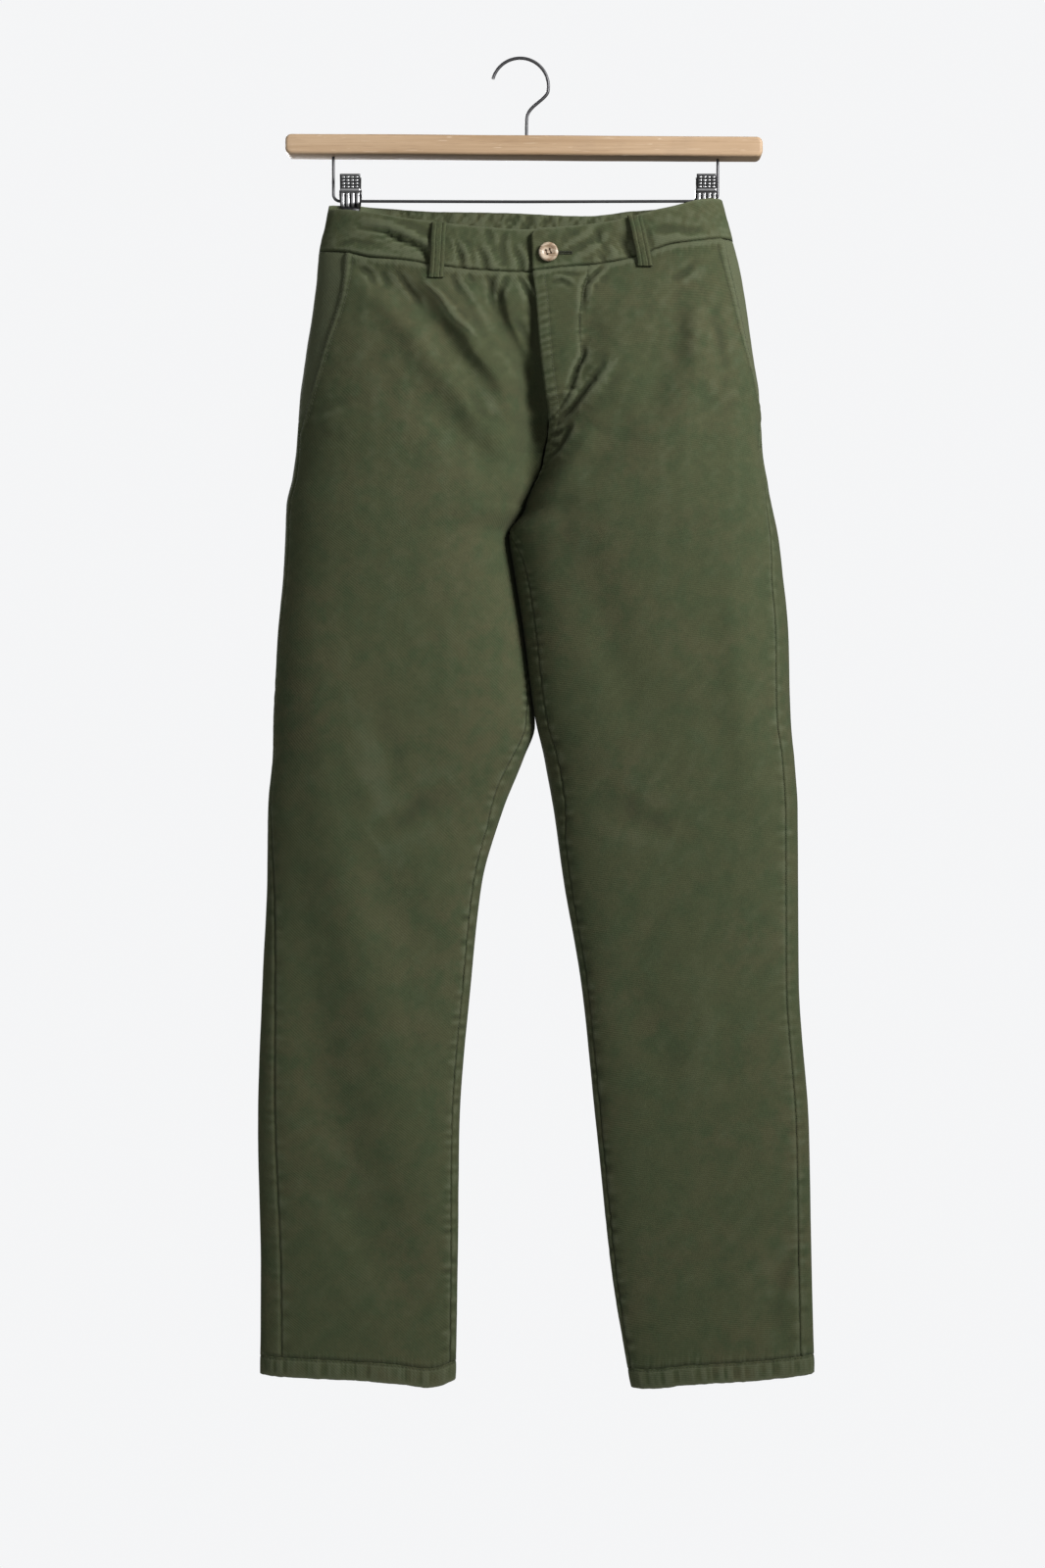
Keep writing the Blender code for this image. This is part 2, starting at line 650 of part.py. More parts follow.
def add_pockets(collection, material):
    """The facing that shows in the slanted mouth, in one piece with the bag behind the front."""
    levels = levels_of(PANEL_SPANS)
    for side, half in HALVES.items():
        rows = []
        closed = [level for level in levels if level > half.mouth_end][0]
        for level in levels[: levels.index(closed) + 1]:
            mouth = half.mouth_turn(level)
            columns = half.spread(half.inner_turn(level), mouth, level, FRONT_COLUMNS)
            if level < closed:
                turns = columns[-1 - POCKET_COLUMNS :]
                turns += half.spread(mouth, half.seam_turn(level), level, FACING_COLUMNS)[1:]
            else:
                turns = columns[-1 - POCKET_COLUMNS : -1]
                turns += [mix(columns[-2], columns[-1], part) for part in (0.5, 0.75, 1.0)]
            row = []
            for place, turn in enumerate(turns):
                shown = (place - POCKET_COLUMNS) / FACING_COLUMNS
                inset = (CLOTH + POCKET_GAP) * (1 - smoothstep(0, 1, shown))
                if level == closed:
                    inset = CLOTH + 3 * POCKET_GAP
                trim = 2 * GAP if level == levels[0] else 0.0
                row.append(Spot(half, turn, half.drop_of(turn, level) + trim, -inset))
            rows.append(row)
        add_shell(collection, f"pocket_{side}", rows, POCKETING, material)


def add_hems(collection, material):
    for side, half in HALVES.items():
        rows = []
        for part in (0.0, 0.5, 1.0):
            level = HEM_LEVEL - HEM_HEIGHT * (1 - part)
            turns = half.spread(0.0, 1.0, HEM_LEVEL - HEM_HEIGHT, HEM_COLUMNS, closed=True)
            row = []
            for place, turn in enumerate(turns):
                wave = math.cos(math.tau * HEM_PUCKERS * place / HEM_COLUMNS)
                out = 0.2 + HEM_PUCKER_DEPTH * (0.5 + 0.5 * wave) * math.sin(math.pi * part) ** 0.5
                trim = GAP if part == 0 else 0.0
                row.append(Spot(half, turn, half.drop_of(turn, level) + trim, out))
            rows.append(row)
        add_shell(collection, f"hem_{side}", rows, HEM_WALL, material, closed=True)


def band_drop(x, face, part, tab_edge=None):
    """The drop of the waistband at a part of its height, 0 at its top."""
    top = WAIST_AT[face]["top"](x)
    if tab_edge is not None and x < tab_edge + TAB_CORNER:
        top += TAB_CORNER_DROP * (1 - max(x - tab_edge, 0.0) / TAB_CORNER) ** 2
    return mix(top, WAIST_AT[face]["seam"](x) - GAP / 2, part)


def pucker_depth(x, drop, part):
    """How far the front waistband sinks at a place."""
    depth = -crease_height(BAND_ROLL, x, drop)
    for pucker in BAND_PUCKERS:
        away = (x - mix(pucker.top, pucker.seam, part)) / pucker.half_width
        depth += pucker.depth * math.exp(-away * away) * (0.35 + 0.65 * part)
    return depth


def add_front_band(collection, side, columns, material):
    half = HALVES[side]
    start = half.edge_turn("inner", 0.0, BAND_LEVEL)
    end = half.edge_turn("outer", -7.0, BAND_LEVEL)
    turns = half.spread(start, end, BAND_LEVEL, columns)
    tab_edge = half.at_x(-1e3, FRONT, BAND_LEVEL).x if side == "left" else None
    rows = []
    for row in range(BAND_ROWS + 1):
        part = row / BAND_ROWS
        spots = []
        for turn in turns:
            drop = half.settle(turn, BAND_LEVEL, lambda x: band_drop(x, face_of(turn), part, tab_edge))
            sunk = pucker_depth(half.point(turn, drop).x, drop, part) if turn <= 0.5 else 0.0
            spots.append(Spot(half, turn, drop, -sunk))
        rows.append(spots)
    add_shell(collection, f"waistband_{side}", rows, BAND_WALL, material)


def add_back_band(collection, material):
    """One piece from side to side, gathered between the clips."""
    path = []
    for half in (RIGHT_HALF, LEFT_HALF):
        turns = half.spread(half.edge_turn("outer", -7.0, BAND_LEVEL), 1.0, BAND_LEVEL, BACK_BAND_COLUMNS // 2)
        path += [(half, turn) for turn in (turns if half is RIGHT_HALF else turns[-2::-1])]
    rows = []
    for row in range(BAND_ROWS):
        part = row / (BAND_ROWS - 1)
        spots = []
        for half, turn in path:
            drop = half.settle(turn, BAND_LEVEL, lambda x: band_drop(x, BACK, part))
            across = (half.point(turn, drop).x - CLIP_PLACES[0]) / (CLIP_PLACES[1] - CLIP_PLACES[0])
            calm = smoothstep(0.06, 0.16, across) * smoothstep(0.06, 0.16, 1 - across)
            wave = math.cos(math.tau * GATHERS * across + 1.3 * math.sin(14 * across))
            spots.append(Spot(half, turn, drop, GATHER_DEPTH * calm * (0.5 + 0.5 * wave)))
        rows.append(spots)
    add_shell(collection, "waistband_back", rows, BAND_WALL, material)


def fly_strip(stations, inset):
    """Rows of spots behind the left front, at stations from the fly edge."""
    rows = []
    for row in range(FLY_ROWS + 1):
        level = mix(FLY_TOP, FLY_BOTTOM, row / FLY_ROWS)
        edge = LEFT_HALF.inner_x(FRONT, level)
        turns = [LEFT_HALF.turn_at_x(edge + station, FRONT, level) for station in stations]
        rows.append([Spot(LEFT_HALF, turn, level, -inset) for turn in turns])
    return rows


def add_fly(collection, cloth, tape):
    inset = CLOTH + FLY_GAP
    add_shell(collection, "fly_zip", fly_strip(ZIP_STATIONS, inset), ZIP_WALL, tape)
    rows = fly_strip(SHIELD_STATIONS, inset + ZIP_WALL + FLY_GAP)
    add_shell(collection, "fly_shield", rows, CLOTH, cloth)


def add_loops(collection, material):
    for loop in LOOPS:
        base = GAP + LOOP_WALL + (0.3 if loop.face == FRONT else GATHER_DEPTH + 0.2)
        top = WAIST_AT[loop.face]["top"](loop.top_x) + 1.0
        foot = WAIST_AT[loop.face]["seam"](loop.foot_x) + LOOP_FOOT
        rows = []
        for row in range(LOOP_ROWS + 1):
            part = row / LOOP_ROWS
            drop = mix(top, foot, part)
            stand = LOOP_STAND * math.sin(math.pi * part) ** 1.3
            points = []
            for side in (-0.5, 0.0, 0.5):
                x = mix(loop.top_x, loop.foot_x, part) + side * LOOP_WIDTH
                half = LEFT_HALF if x > 3.0 else RIGHT_HALF
                point = half.at_x(x, loop.face, drop)
                point.y += loop.face * (base + stand)
                points.append(point)
            rows.append(points)
        add_cloth(collection, loop.name, rows, LOOP_WALL, material, LEFT if loop.face == FRONT else RIGHT)


def turned(collection, name, profile, steps, material):
    """A solid turned about its own Z from (radius, height) points, run down the outer side."""
    mesh = bpy.data.meshes.new(name)
    rim = bmesh.new()
    verts = [rim.verts.new((radius * MM, 0, height * MM)) for radius, height in profile]
    for before, after in zip(verts, verts[1:]):
        rim.edges.new((before, after))
    if profile[-1][0] > 0:
        rim.edges.new((verts[-1], verts[0]))
    rim.to_mesh(mesh)
    rim.free()
    piece = add_piece(collection, name, mesh, material)
    screw = piece.modifiers.new("Turn", "SCREW")
    screw.steps = screw.render_steps = steps
    screw.use_merge_vertices = True
    screw.merge_threshold = 0.00001
    return piece


def add_button(collection, cutters, material):
    turn = LEFT_HALF.turn_at_x(BUTTON_X, FRONT, BUTTON_DROP)
    outward = LEFT_HALF.outward(turn, BUTTON_DROP)
    rim, dish = BUTTON_HEIGHT, BUTTON_HEIGHT - 0.9
    radius = BUTTON_RADIUS
    profile = [(0, dish), (4.2, dish), (5.6, rim), (radius - 1, rim), (radius, rim - 1)]
    profile += [(radius, 1), (radius - 1.2, 0), (0, 0)]
    button = turned(collection, "button", profile, 24, material)
    cutter_mesh = bpy.data.meshes.new("button_holes")
    holes = bmesh.new()
    for x, y in ((-1, -1), (-1, 1), (1, -1), (1, 1)):
        place = Matrix.Translation(Vector((x, y, 1.2)) * BUTTON_HOLE_SPREAD * MM)
        size = BUTTON_HOLE * MM
        bmesh.ops.create_cone(
            holes, cap_ends=True, segments=8, radius1=size, radius2=size, depth=12 * MM, matrix=place
        )
    holes.to_mesh(cutter_mesh)
    holes.free()
    cutter = bpy.data.objects.new("button_holes", cutter_mesh)
    cutters.objects.link(cutter)
    cutter.hide_render = True
    cutter.display_type = "WIRE"
    place = LEFT_HALF.raised(turn, BUTTON_DROP, GAP + 0.2) * MM
    for part in (button, cutter):
        part.location = place
        part.rotation_mode = "QUATERNION"
        part.rotation_quaternion = Vector((0, 0, 1)).rotation_difference(outward)
    cut = button.modifiers.new("Holes", "BOOLEAN")
    cut.operation = "DIFFERENCE"
    cut.object = cutter


def add_wire(collection, name, route, radius, material):
    """A round wire through (across, drop) points in the plane of the hanger."""
    curve = bpy.data.curves.new(name, "CURVE")
    curve.dimensions = "3D"
    curve.bevel_depth = radius * MM
    curve.bevel_resolution = 2
    curve.use_fill_caps = True
    spline = curve.splines.new("POLY")
    spline.points.add(len(route) - 1)
    for point, (x, drop) in zip(spline.points, route):
        point.co = (x * MM, 0, -drop * MM, 1)
    curve.materials.append(material)
    wire = bpy.data.objects.new(name, curve)
    collection.objects.link(wire)


def arc(centre, radius, start, end, steps):
    """Points on an arc of the hanger's plane; angles in degrees, anticlockwise from +X."""
    points = []
    for step in range(steps + 1):
        angle = math.radians(mix(start, end, step / steps))
        points.append((centre[0] + radius * math.cos(angle), centre[1] - radius * math.sin(angle)))
    return points


def add_bar(collection, wood):
    mesh = bpy.data.meshes.new("hanger_bar")
    bar = bmesh.new()
    bmesh.ops.create_cube(bar, size=1.0)
    for vert in bar.verts:
        x = BAR_ENDS[0] if vert.co.x < 0 else BAR_ENDS[1]
        tilt = 0.0 if vert.co.x < 0 else BAR_TILT
        drop = BAR_TOP + tilt + (0.5 - vert.co.z) * BAR_HEIGHT
        vert.co = Vector((x, vert.co.y * BAR_DEPTH, -drop)) * MM
    bar.to_mesh(mesh)
    bar.free()
    piece = add_piece(collection, "hanger_bar", mesh, wood)
    bevel = piece.modifiers.new("Rounded edges", "BEVEL")
    bevel.width = 3.2 * MM
    bevel.segments = 3
    piece.data.set_sharp_from_angle(angle=math.radians(40))


def add_hook_and_frame(collection, steel):
    top = BAR_TOP + BAR_TILT * (HOOK_STEM_X - BAR_ENDS[0]) / (BAR_ENDS[1] - BAR_ENDS[0])
    stem = [(HOOK_STEM_X, top - GAP - 0.1), (HOOK_STEM_X, 51.5), (4.2, 46.5), (8.4, 41.5), (14.0, 37.0), (18.6, 33.0)]
    bend = arc(HOOK_CENTRE, HOOK_RADIUS, -14, 165, 18)
    add_wire(collection, "hanger_hook", stem + bend, HOOK_WIRE, steel)
    left, right = FRAME_LEGS
    low = FRAME_DROP - FRAME_CORNER
    under = BAR_TOP + BAR_HEIGHT + GAP + 0.4
    route = [(left, under)]
    route += arc((left + FRAME_CORNER, low), FRAME_CORNER, 180, 270, 5)
    route += arc((right - FRAME_CORNER, low), FRAME_CORNER, 270, 360, 5)
    route += [(right, under + BAR_TILT)]
    add_wire(collection, "hanger_frame", route, FRAME_WIRE, steel)


def add_clip(collection, side, place, roll_place, steel):
    """Two plates that pinch the back of the waistband, sprung apart above on a roll round the wire."""
    half = HALVES[side]
    for word, face in (("front", FRONT), ("rear", BACK)):
        rows = []
        for drop in CLIP_DROPS:
            width = mix(CLIP_WIDTH, JAW_WIDTH, smoothstep(121, 131, drop))
            apart = mix(ROLL_RADIUS + GAP, CLIP_FLARE, smoothstep(124, CLIP_TOP - 8, drop))
            jaw = smoothstep(127, JAW_TOP, drop)
            points = []
            for step in range(4):
                x = place + (step / 3 - 0.5) * width
                band = half.at_x(x, BACK, max(drop, JAW_TOP)).y
                grip = band + 0.7 if face == BACK else band - BAND_WALL - 0.7
                sprung = max(apart, grip) if face == BACK else -apart
                y = mix(sprung, grip, jaw) + face * CLIP_WALL
                points.append(Vector((x, y, -drop)))
            rows.append(points)
        name = f"clip_plate_{word}_{side}"
        add_cloth(collection, name, rows, CLIP_WALL, steel, LEFT if face == FRONT else RIGHT)
    inner, outer, reach = FRAME_WIRE + GAP, ROLL_RADIUS, ROLL_LENGTH / 2
    profile = [(outer, reach), (outer, -reach), (inner, -reach), (inner, reach)]
    roll = turned(collection, f"clip_roll_{side}", profile, 16, steel)
    roll.location = Vector((roll_place, 0, -FRAME_DROP)) * MM
    roll.rotation_euler = (0, math.radians(90), 0)


def main():
    for old in list(bpy.data.objects):
        bpy.data.objects.remove(old)
    trousers = bpy.data.collections.new("Chino trousers on a clip hanger")
    cutters = bpy.data.collections.new("Cutters")
    for collection in (trousers, cutters):
        bpy.context.scene.collection.children.link(collection)
    twill = finish_material("olive cotton twill", (0.062, 0.071, 0.037), 0.88)
    tape = finish_material("zip tape", (0.045, 0.052, 0.03), 0.8)
    horn = finish_material("cream horn", (0.62, 0.53, 0.41), 0.35)
    wood = finish_material("pale wood", (0.54, 0.37, 0.23), 0.5)
    steel = finish_material("bright steel", (0.55, 0.55, 0.56), 0.25, 1.0)
    add_panels(trousers, twill)
    add_pockets(trousers, twill)
    add_hems(trousers, twill)
    add_front_band(trousers, "right", 44, twill)
    add_front_band(trousers, "left", 36, twill)
    add_back_band(trousers, twill)
    add_fly(trousers, twill, tape)
    add_loops(trousers, twill)
    add_button(trousers, cutters, horn)
    add_bar(trousers, wood)
    add_hook_and_frame(trousers, steel)
    for side, place, roll_place in zip(("right", "left"), CLIP_PLACES, ROLL_PLACES):
        add_clip(trousers, side, place, roll_place, steel)


main()
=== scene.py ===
import math
from bisect import bisect_right

import bmesh
import bpy
from mathutils import Matrix, Vector, noise


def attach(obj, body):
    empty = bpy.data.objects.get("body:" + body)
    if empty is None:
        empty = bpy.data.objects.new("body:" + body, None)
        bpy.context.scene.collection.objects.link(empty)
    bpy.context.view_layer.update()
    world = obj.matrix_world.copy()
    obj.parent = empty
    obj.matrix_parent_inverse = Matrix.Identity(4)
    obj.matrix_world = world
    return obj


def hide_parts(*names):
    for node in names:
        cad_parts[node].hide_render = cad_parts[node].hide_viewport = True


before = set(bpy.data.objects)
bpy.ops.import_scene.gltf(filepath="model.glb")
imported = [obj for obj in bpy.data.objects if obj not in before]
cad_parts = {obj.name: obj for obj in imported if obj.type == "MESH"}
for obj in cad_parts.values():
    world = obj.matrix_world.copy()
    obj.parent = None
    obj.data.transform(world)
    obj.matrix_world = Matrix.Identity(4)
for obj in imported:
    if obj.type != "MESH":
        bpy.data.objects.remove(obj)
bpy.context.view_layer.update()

# Right and left are the wearer's: the right leg lies at -X and the front faces -Y. The tables are in
# millimetres, and a drop is a distance below the top of the hook's bend.
mm = 0.001
frontSide, backSide = -1, 1
detail = 1.0


class Value:
    # a number in a material's nodes
    def __init__(self, look, socket):
        self.look, self.socket = look, socket

    def maths(self, operation, first, second=None):
        node = self.look.tree.nodes.new("ShaderNodeMath")
        node.operation = operation
        for socket, given in zip(node.inputs, (first, second)):
            if given is not None:
                self.look.feed(socket, given)
        return Value(self.look, node.outputs[0])

    def __add__(self, other):
        return self.maths("ADD", self, other)

    def __sub__(self, other):
        return self.maths("SUBTRACT", self, other)

    def __rsub__(self, other):
        return self.maths("SUBTRACT", other, self)

    def __mul__(self, other):
        return self.maths("MULTIPLY", self, other)

    __radd__ = __add__
    __rmul__ = __mul__

    def sine(self):
        return self.maths("SINE", self)


class Look:
    # a material that is built from nodes
    def __init__(self, name, roughness, metallic=0.0, sheen=0.0, specular=0.5):
        self.material = bpy.data.materials.new(name)
        self.material.use_nodes = True
        self.tree = self.material.node_tree
        self.shader = self.tree.nodes["Principled BSDF"]
        self.shader.inputs["Roughness"].default_value = roughness
        self.shader.inputs["Metallic"].default_value = metallic
        self.shader.inputs["Sheen Weight"].default_value = sheen
        self.shader.inputs["Specular IOR Level"].default_value = specular

    def feed(self, socket, given):
        if isinstance(given, Value):
            given = given.socket
        if isinstance(given, bpy.types.NodeSocket):
            self.tree.links.new(given, socket)
        else:
            socket.default_value = given

    def add(self, kind, settings=None, values=None, output=0):
        node = self.tree.nodes.new("ShaderNode" + kind)
        for key, setting in (settings or {}).items():
            if key == "stops":
                ramp = node.color_ramp.elements
                while len(ramp) < len(setting):
                    ramp.new(0.5)
                for stop, (place, tone) in zip(ramp, setting):
                    stop.position, stop.color = place, (*tone, 1)
            else:
                setattr(node, key, setting)
        for key, given in (values or {}).items():
            self.feed(node.inputs[key], given)
        return Value(self, node.outputs[output])

    def blend(self, factor, first, second, how="MIX"):
        # colours, mixed by a number
        node = self.tree.nodes.new("ShaderNodeMix")
        node.data_type, node.blend_type = "RGBA", how
        for socket, given in zip((node.inputs[0], node.inputs[6], node.inputs[7]), (factor, first, second)):
            self.feed(socket, (*given, 1) if isinstance(given, tuple) else given)
        return Value(self, node.outputs[2])

    def objectPlace(self):
        return self.add("TexCoord", None, None, "Object")

    def clouds(self, place, scale, detail, **more):
        return self.add("TexNoise", None, {"Vector": place, "Scale": scale, "Detail": detail, **more})

    def streaks(self, place, stretch, detail, turn=(0, 0, 0), **more):
        # noise that is finer one way than another
        stretched = self.add("Mapping", None, {"Vector": place, "Rotation": turn, "Scale": stretch})
        return self.clouds(stretched, 1.0, detail, **more)

    def remap(self, value, start, end, low, high):
        ends = {"From Min": start, "From Max": end, "To Min": low, "To Max": high}
        return self.add("MapRange", None, {"Value": value, **ends})

    def set(self, name, given):
        self.feed(self.shader.inputs[name], given)

    def bump(self, height, strength, distance):
        bumped = self.add("Bump", None, {"Strength": strength, "Distance": distance, "Height": height})
        self.set("Normal", bumped)


print("camera, floor and light")

studio = {
    "cameraPlace": (-0.0009, -2.5, -0.64),
    "lens": 64.95,
    "sensor": 36,
    "wallTint": (0.985, 0.99, 1.0),
    "wallTone": 0.925,
    "ambientTint": (0.98, 0.99, 1.0),
    "ambient": 0.12,
    "aim": (0.2, 0, -0.24),
    "lamps": {  # place, size, power, and spread in degrees
        "key": ((1.95, -1.7, 0.7), 1.1, 22.5, 80),
        "fill": ((-0.6, -2.6, 0.5), 1.8, 6, 170),
        "rear": ((-0.7, 2.3, 0.3), 1.6, 60, 170),
        "bounce": ((-2.0, -0.7, 0.35), 1.6, 5, 170),
    },
}
floor = {
    "middle": (0, -0.75, -2.0),
    "half": 1.7,
    "tones": ((0.80, 0.80, 0.79), (0.86, 0.86, 0.85)),
    "glow": (0.097, 0.098, 0.1),  # the light that it throws up the legs
    "seenGlow": (0.56, 0.565, 0.575),  # what the camera adds to it, from every side alike
}


def addCamera():
    scene = bpy.context.scene
    scene.view_settings.view_transform = "Standard"
    lens = bpy.data.cameras.new("camera")
    lens.lens, lens.sensor_width = studio["lens"], studio["sensor"]
    camera = bpy.data.objects.new("camera", lens)
    camera.location = studio["cameraPlace"]
    camera.rotation_euler = (math.radians(90), 0, 0)
    scene.collection.objects.link(camera)
    scene.camera = camera


def addLamps():
    for name, (place, size, power, spread) in studio["lamps"].items():
        light = bpy.data.lights.new(name, "AREA")
        light.shape, light.spread = "DISK", math.radians(spread)
        light.size, light.energy = size, power
        lamp = bpy.data.objects.new(name, light)
        lamp.location = place
        lamp.rotation_euler = (Vector(studio["aim"]) - lamp.location).to_track_quat("-Z", "Y").to_euler()
        bpy.context.scene.collection.objects.link(lamp)


def addWorld():
    # the camera sees a pale wall, and the object gets a weaker light all round
    world = bpy.data.worlds.new("studio")
    world.use_nodes = True
    nodes, links = world.node_tree.nodes, world.node_tree.links
    soft = nodes["Background"]
    soft.inputs["Color"].default_value = (*studio["ambientTint"], 1)
    soft.inputs["Strength"].default_value = studio["ambient"]
    seen = nodes.new("ShaderNodeBackground")
    seen.inputs["Color"].default_value = (*studio["wallTint"], 1)
    seen.inputs["Strength"].default_value = studio["wallTone"]
    rays = nodes.new("ShaderNodeLightPath")
    choose = nodes.new("ShaderNodeMixShader")
    links.new(rays.outputs["Is Camera Ray"], choose.inputs[0])
    links.new(soft.outputs[0], choose.inputs[1])
    links.new(seen.outputs[0], choose.inputs[2])
    links.new(choose.outputs[0], nodes["World Output"].inputs["Surface"])
    bpy.context.scene.world = world


def paleFloor():
    look = Look("pale floor", 0.8)
    cloud = look.clouds(look.objectPlace(), 3.0, 3.0)
    look.set("Base Color", look.blend(cloud, *floor["tones"]))
    seen = look.add("LightPath", None, None, "Is Camera Ray")
    look.set("Emission Color", look.blend(seen, floor["glow"], floor["seenGlow"]))
    look.shader.inputs["Emission Strength"].default_value = 1.0
    return look.material


def addFloor():
    sheet = bmesh.new()
    bmesh.ops.create_grid(sheet, x_segments=1, y_segments=1, size=floor["half"])
    bmesh.ops.translate(sheet, verts=sheet.verts, vec=floor["middle"])
    mesh = bpy.data.meshes.new("floor")
    sheet.to_mesh(mesh)
    sheet.free()
    mesh.materials.append(paleFloor())
    ground = bpy.data.objects.new("floor", mesh)
    bpy.context.scene.collection.objects.link(ground)


addCamera()
addLamps()
addWorld()
addFloor()


print("form")


def mix(a, b, t):
    return a + (b - a) * t


def ease(start, end, value):
    t = min(max((value - start) / (end - start), 0.0), 1.0)
    return t * t * (3 - 2 * t)


def lookedUp(value, places, values):
    cell = min(max(bisect_right(places, value) - 1, 0), len(places) - 2)
    t = (value - places[cell]) / (places[cell + 1] - places[cell])
    return mix(values[cell], values[cell + 1], t)


def track(rows, column):
    # a smooth curve through one column of a table, which never runs past its values
    places, values = [row[0] for row in rows], [row[column] for row in rows]
    steps = [after - before for before, after in zip(places, places[1:])]
    slopes = [(after - before) / step for before, after, step in zip(values, values[1:], steps)]
    tangents = [slopes[0]]
    for before, after in zip(slopes, slopes[1:]):
        tangents.append(2 * before * after / (before + after) if before * after > 0 else 0.0)
    tangents.append(slopes[-1])

    def at(place):
        place = min(max(place, places[0]), places[-1])
        cell = min(bisect_right(places, place) - 1, len(steps) - 1)
        t = (place - places[cell]) / steps[cell]
        level = mix(values[cell], values[cell + 1], t * t * (3 - 2 * t))
        lean = tangents[cell] * t * (1 - t) ** 2 - tangents[cell + 1] * t * t * (1 - t)
        return level + lean * steps[cell]

    return at


def ripple(place, across, scale, seed):
    # smooth unevenness between -1 and 1
    return noise.noise(Vector((place / scale, across / scale, seed * 7.31)))


# drop, inner and outer edge, then the depth of the inner edge, the front, the outer edge and the back
rightLegSections = [
    (122, 3.0, -170.0, 4, -31, -5, 11),
    (150, 3.0, -175.5, 4, -33, -5, 12),
    (172, 3.0, -180.5, 4, -35, -4, 14),
    (195, 3.0, -182.5, 4, -38, -2, 19),
    (228, 3.0, -187.0, 4, -44, 0, 27),
    (262, 3.0, -192.5, 4, -50, 0, 34),
    (300, 3.0, -197.5, 4, -55, 0, 40),
    (345, 3.0, -200.5, 4, -59, 0, 45),
    (395, 3.0, -207.0, 4, -59, 0, 47),
    (421, -12.0, -208.0, 4, -57, 0, 46),
    (450, -8.0, -209.5, 4, -54, 0, 44),
    (509, 1.2, -215.0, 4, -49, 0, 40),
    (553, 6.6, -217.5, 4, -46, 0, 37),
    (588, 10.0, -219.5, 4, -43, 0, 35),
    (618, 0.0, -221.5, 4, -41, 0, 33),
    (661, -17.3, -225.5, 4, -38, 0, 30),
    (727, -36.4, -226.5, 0, -34, 0, 27),
    (813, -45.9, -230.5, 0, -30, 0, 26),
    (943, -56.3, -234.5, 0, -25, 0, 22),
    (1073, -58.0, -232.0, 0, -21, 0, 19),
    (1180, -60.0, -233.0, 0, -18, 0, 16),
]
leftLegSections = [
    (122, 3.0, 174.0, 4, -36, -5, 11),
    (150, 3.0, 181.5, 4, -37, -5, 12),
    (172, 3.0, 187.5, 4, -38, -4, 14),
    (195, 3.0, 193.0, 4, -40, -2, 19),
    (228, 3.0, 198.3, 4, -45, 0, 27),
    (262, 3.0, 203.5, 4, -50, 0, 34),
    (296, 3.0, 208.5, 4, -54, 0, 40),
    (345, 3.0, 210.5, 4, -58, 0, 45),
    (395, 3.0, 220.0, 4, -59, 0, 47),
    (421, -12.0, 225.5, 4, -57, 0, 46),
    (450, -8.0, 229.0, 4, -54, 0, 44),
    (509, 1.2, 234.7, 4, -49, 0, 40),
    (553, 6.6, 235.6, 4, -46, 0, 37),
    (588, 11.8, 237.0, 4, -43, 0, 35),
    (618, 18.2, 239.0, 4, -41, 0, 33),
    (661, 26.0, 242.0, 2, -38, 0, 30),
    (727, 35.5, 242.5, 0, -34, 0, 27),
    (813, 50.2, 243.0, 0, -30, 0, 26),
    (943, 64.1, 252.0, 0, -25, 0, 22),
    (1073, 77.9, 254.6, 0, -21, 0, 19),
    (1180, 96.0, 257.5, 0, -18, 0, 16),
]
# between the legs: drop, the fly's edge, how far front and seat stand out, the lap, and the cloth under it
riseSections = [
    (122, 3.0, 40, 7, 18, 4.4),
    (150, 3.5, 41, 8, 18, 4.4),
    (172, 4.0, 42, 10, 16, 4.4),
    (195, 4.7, 43, 15, 8, 4.4),
    (214, 7.0, 44, 19, 8, 4.4),
    (257, 10.5, 44, 26, 8, 4.4),
    (299, 15.5, 40, 31, 8, 4.4),
    (314, 18.0, 35, 32, 6, 4.4),
    (328, 18.0, 31, 32, 0, 3.0),
    (350, 15.0, 23, 30, 0, 0.0),
    (361, 13.0, 18, 27, 0, 0.0),
    (374, 7.5, 11, 20, 0, 0.0),
    (386, 3.0, 5, 11, 0, 0.0),
    (395, 0.0, 0, 0, 0, 0.0),
]
# drop, then how far the inseam and the outseam lie in from the leg's edges; minus is on the back
rightSeams = [
    (172, 0.0, -5.0),
    (300, 0.0, -3.0),
    (338, 0.0, 3.0),
    (395, 0.0, 5.0),
    (450, -2.0, 5.0),
    (553, 1.0, 2.0),
    (588, 5.0, 1.5),
    (640, 12.0, 2.0),
    (683, 8.0, 4.0),
    (727, 7.0, 7.0),
    (813, 6.5, 12.0),
    (986, 6.0, 17.0),
    (1180, 4.5, 20.0),
]
leftSeams = [
    (172, 0.0, -6.0),
    (300, 0.0, -3.0),
    (330, 0.0, 1.0),
    (395, 0.0, 4.0),
    (411, 0.0, 5.5),
    (440, 10.0, 7.5),
    (468, 13.0, 10.0),
    (553, 12.0, 11.0),
    (653, 11.0, 12.0),
    (694, 6.0, 12.0),
    (813, 5.0, 12.0),
    (1073, 3.5, 12.0),
    (1180, 2.0, 13.0),
]
# drop, and how far the pocket's mouth lies in from the outer edge
rightMouth = [(160, 25.5), (212, 24), (258, 16.6), (288, 12), (338, 3)]
leftMouth = [(160, 8), (192, 10), (244, 6.3), (282, 3.2), (310, 1.5)]
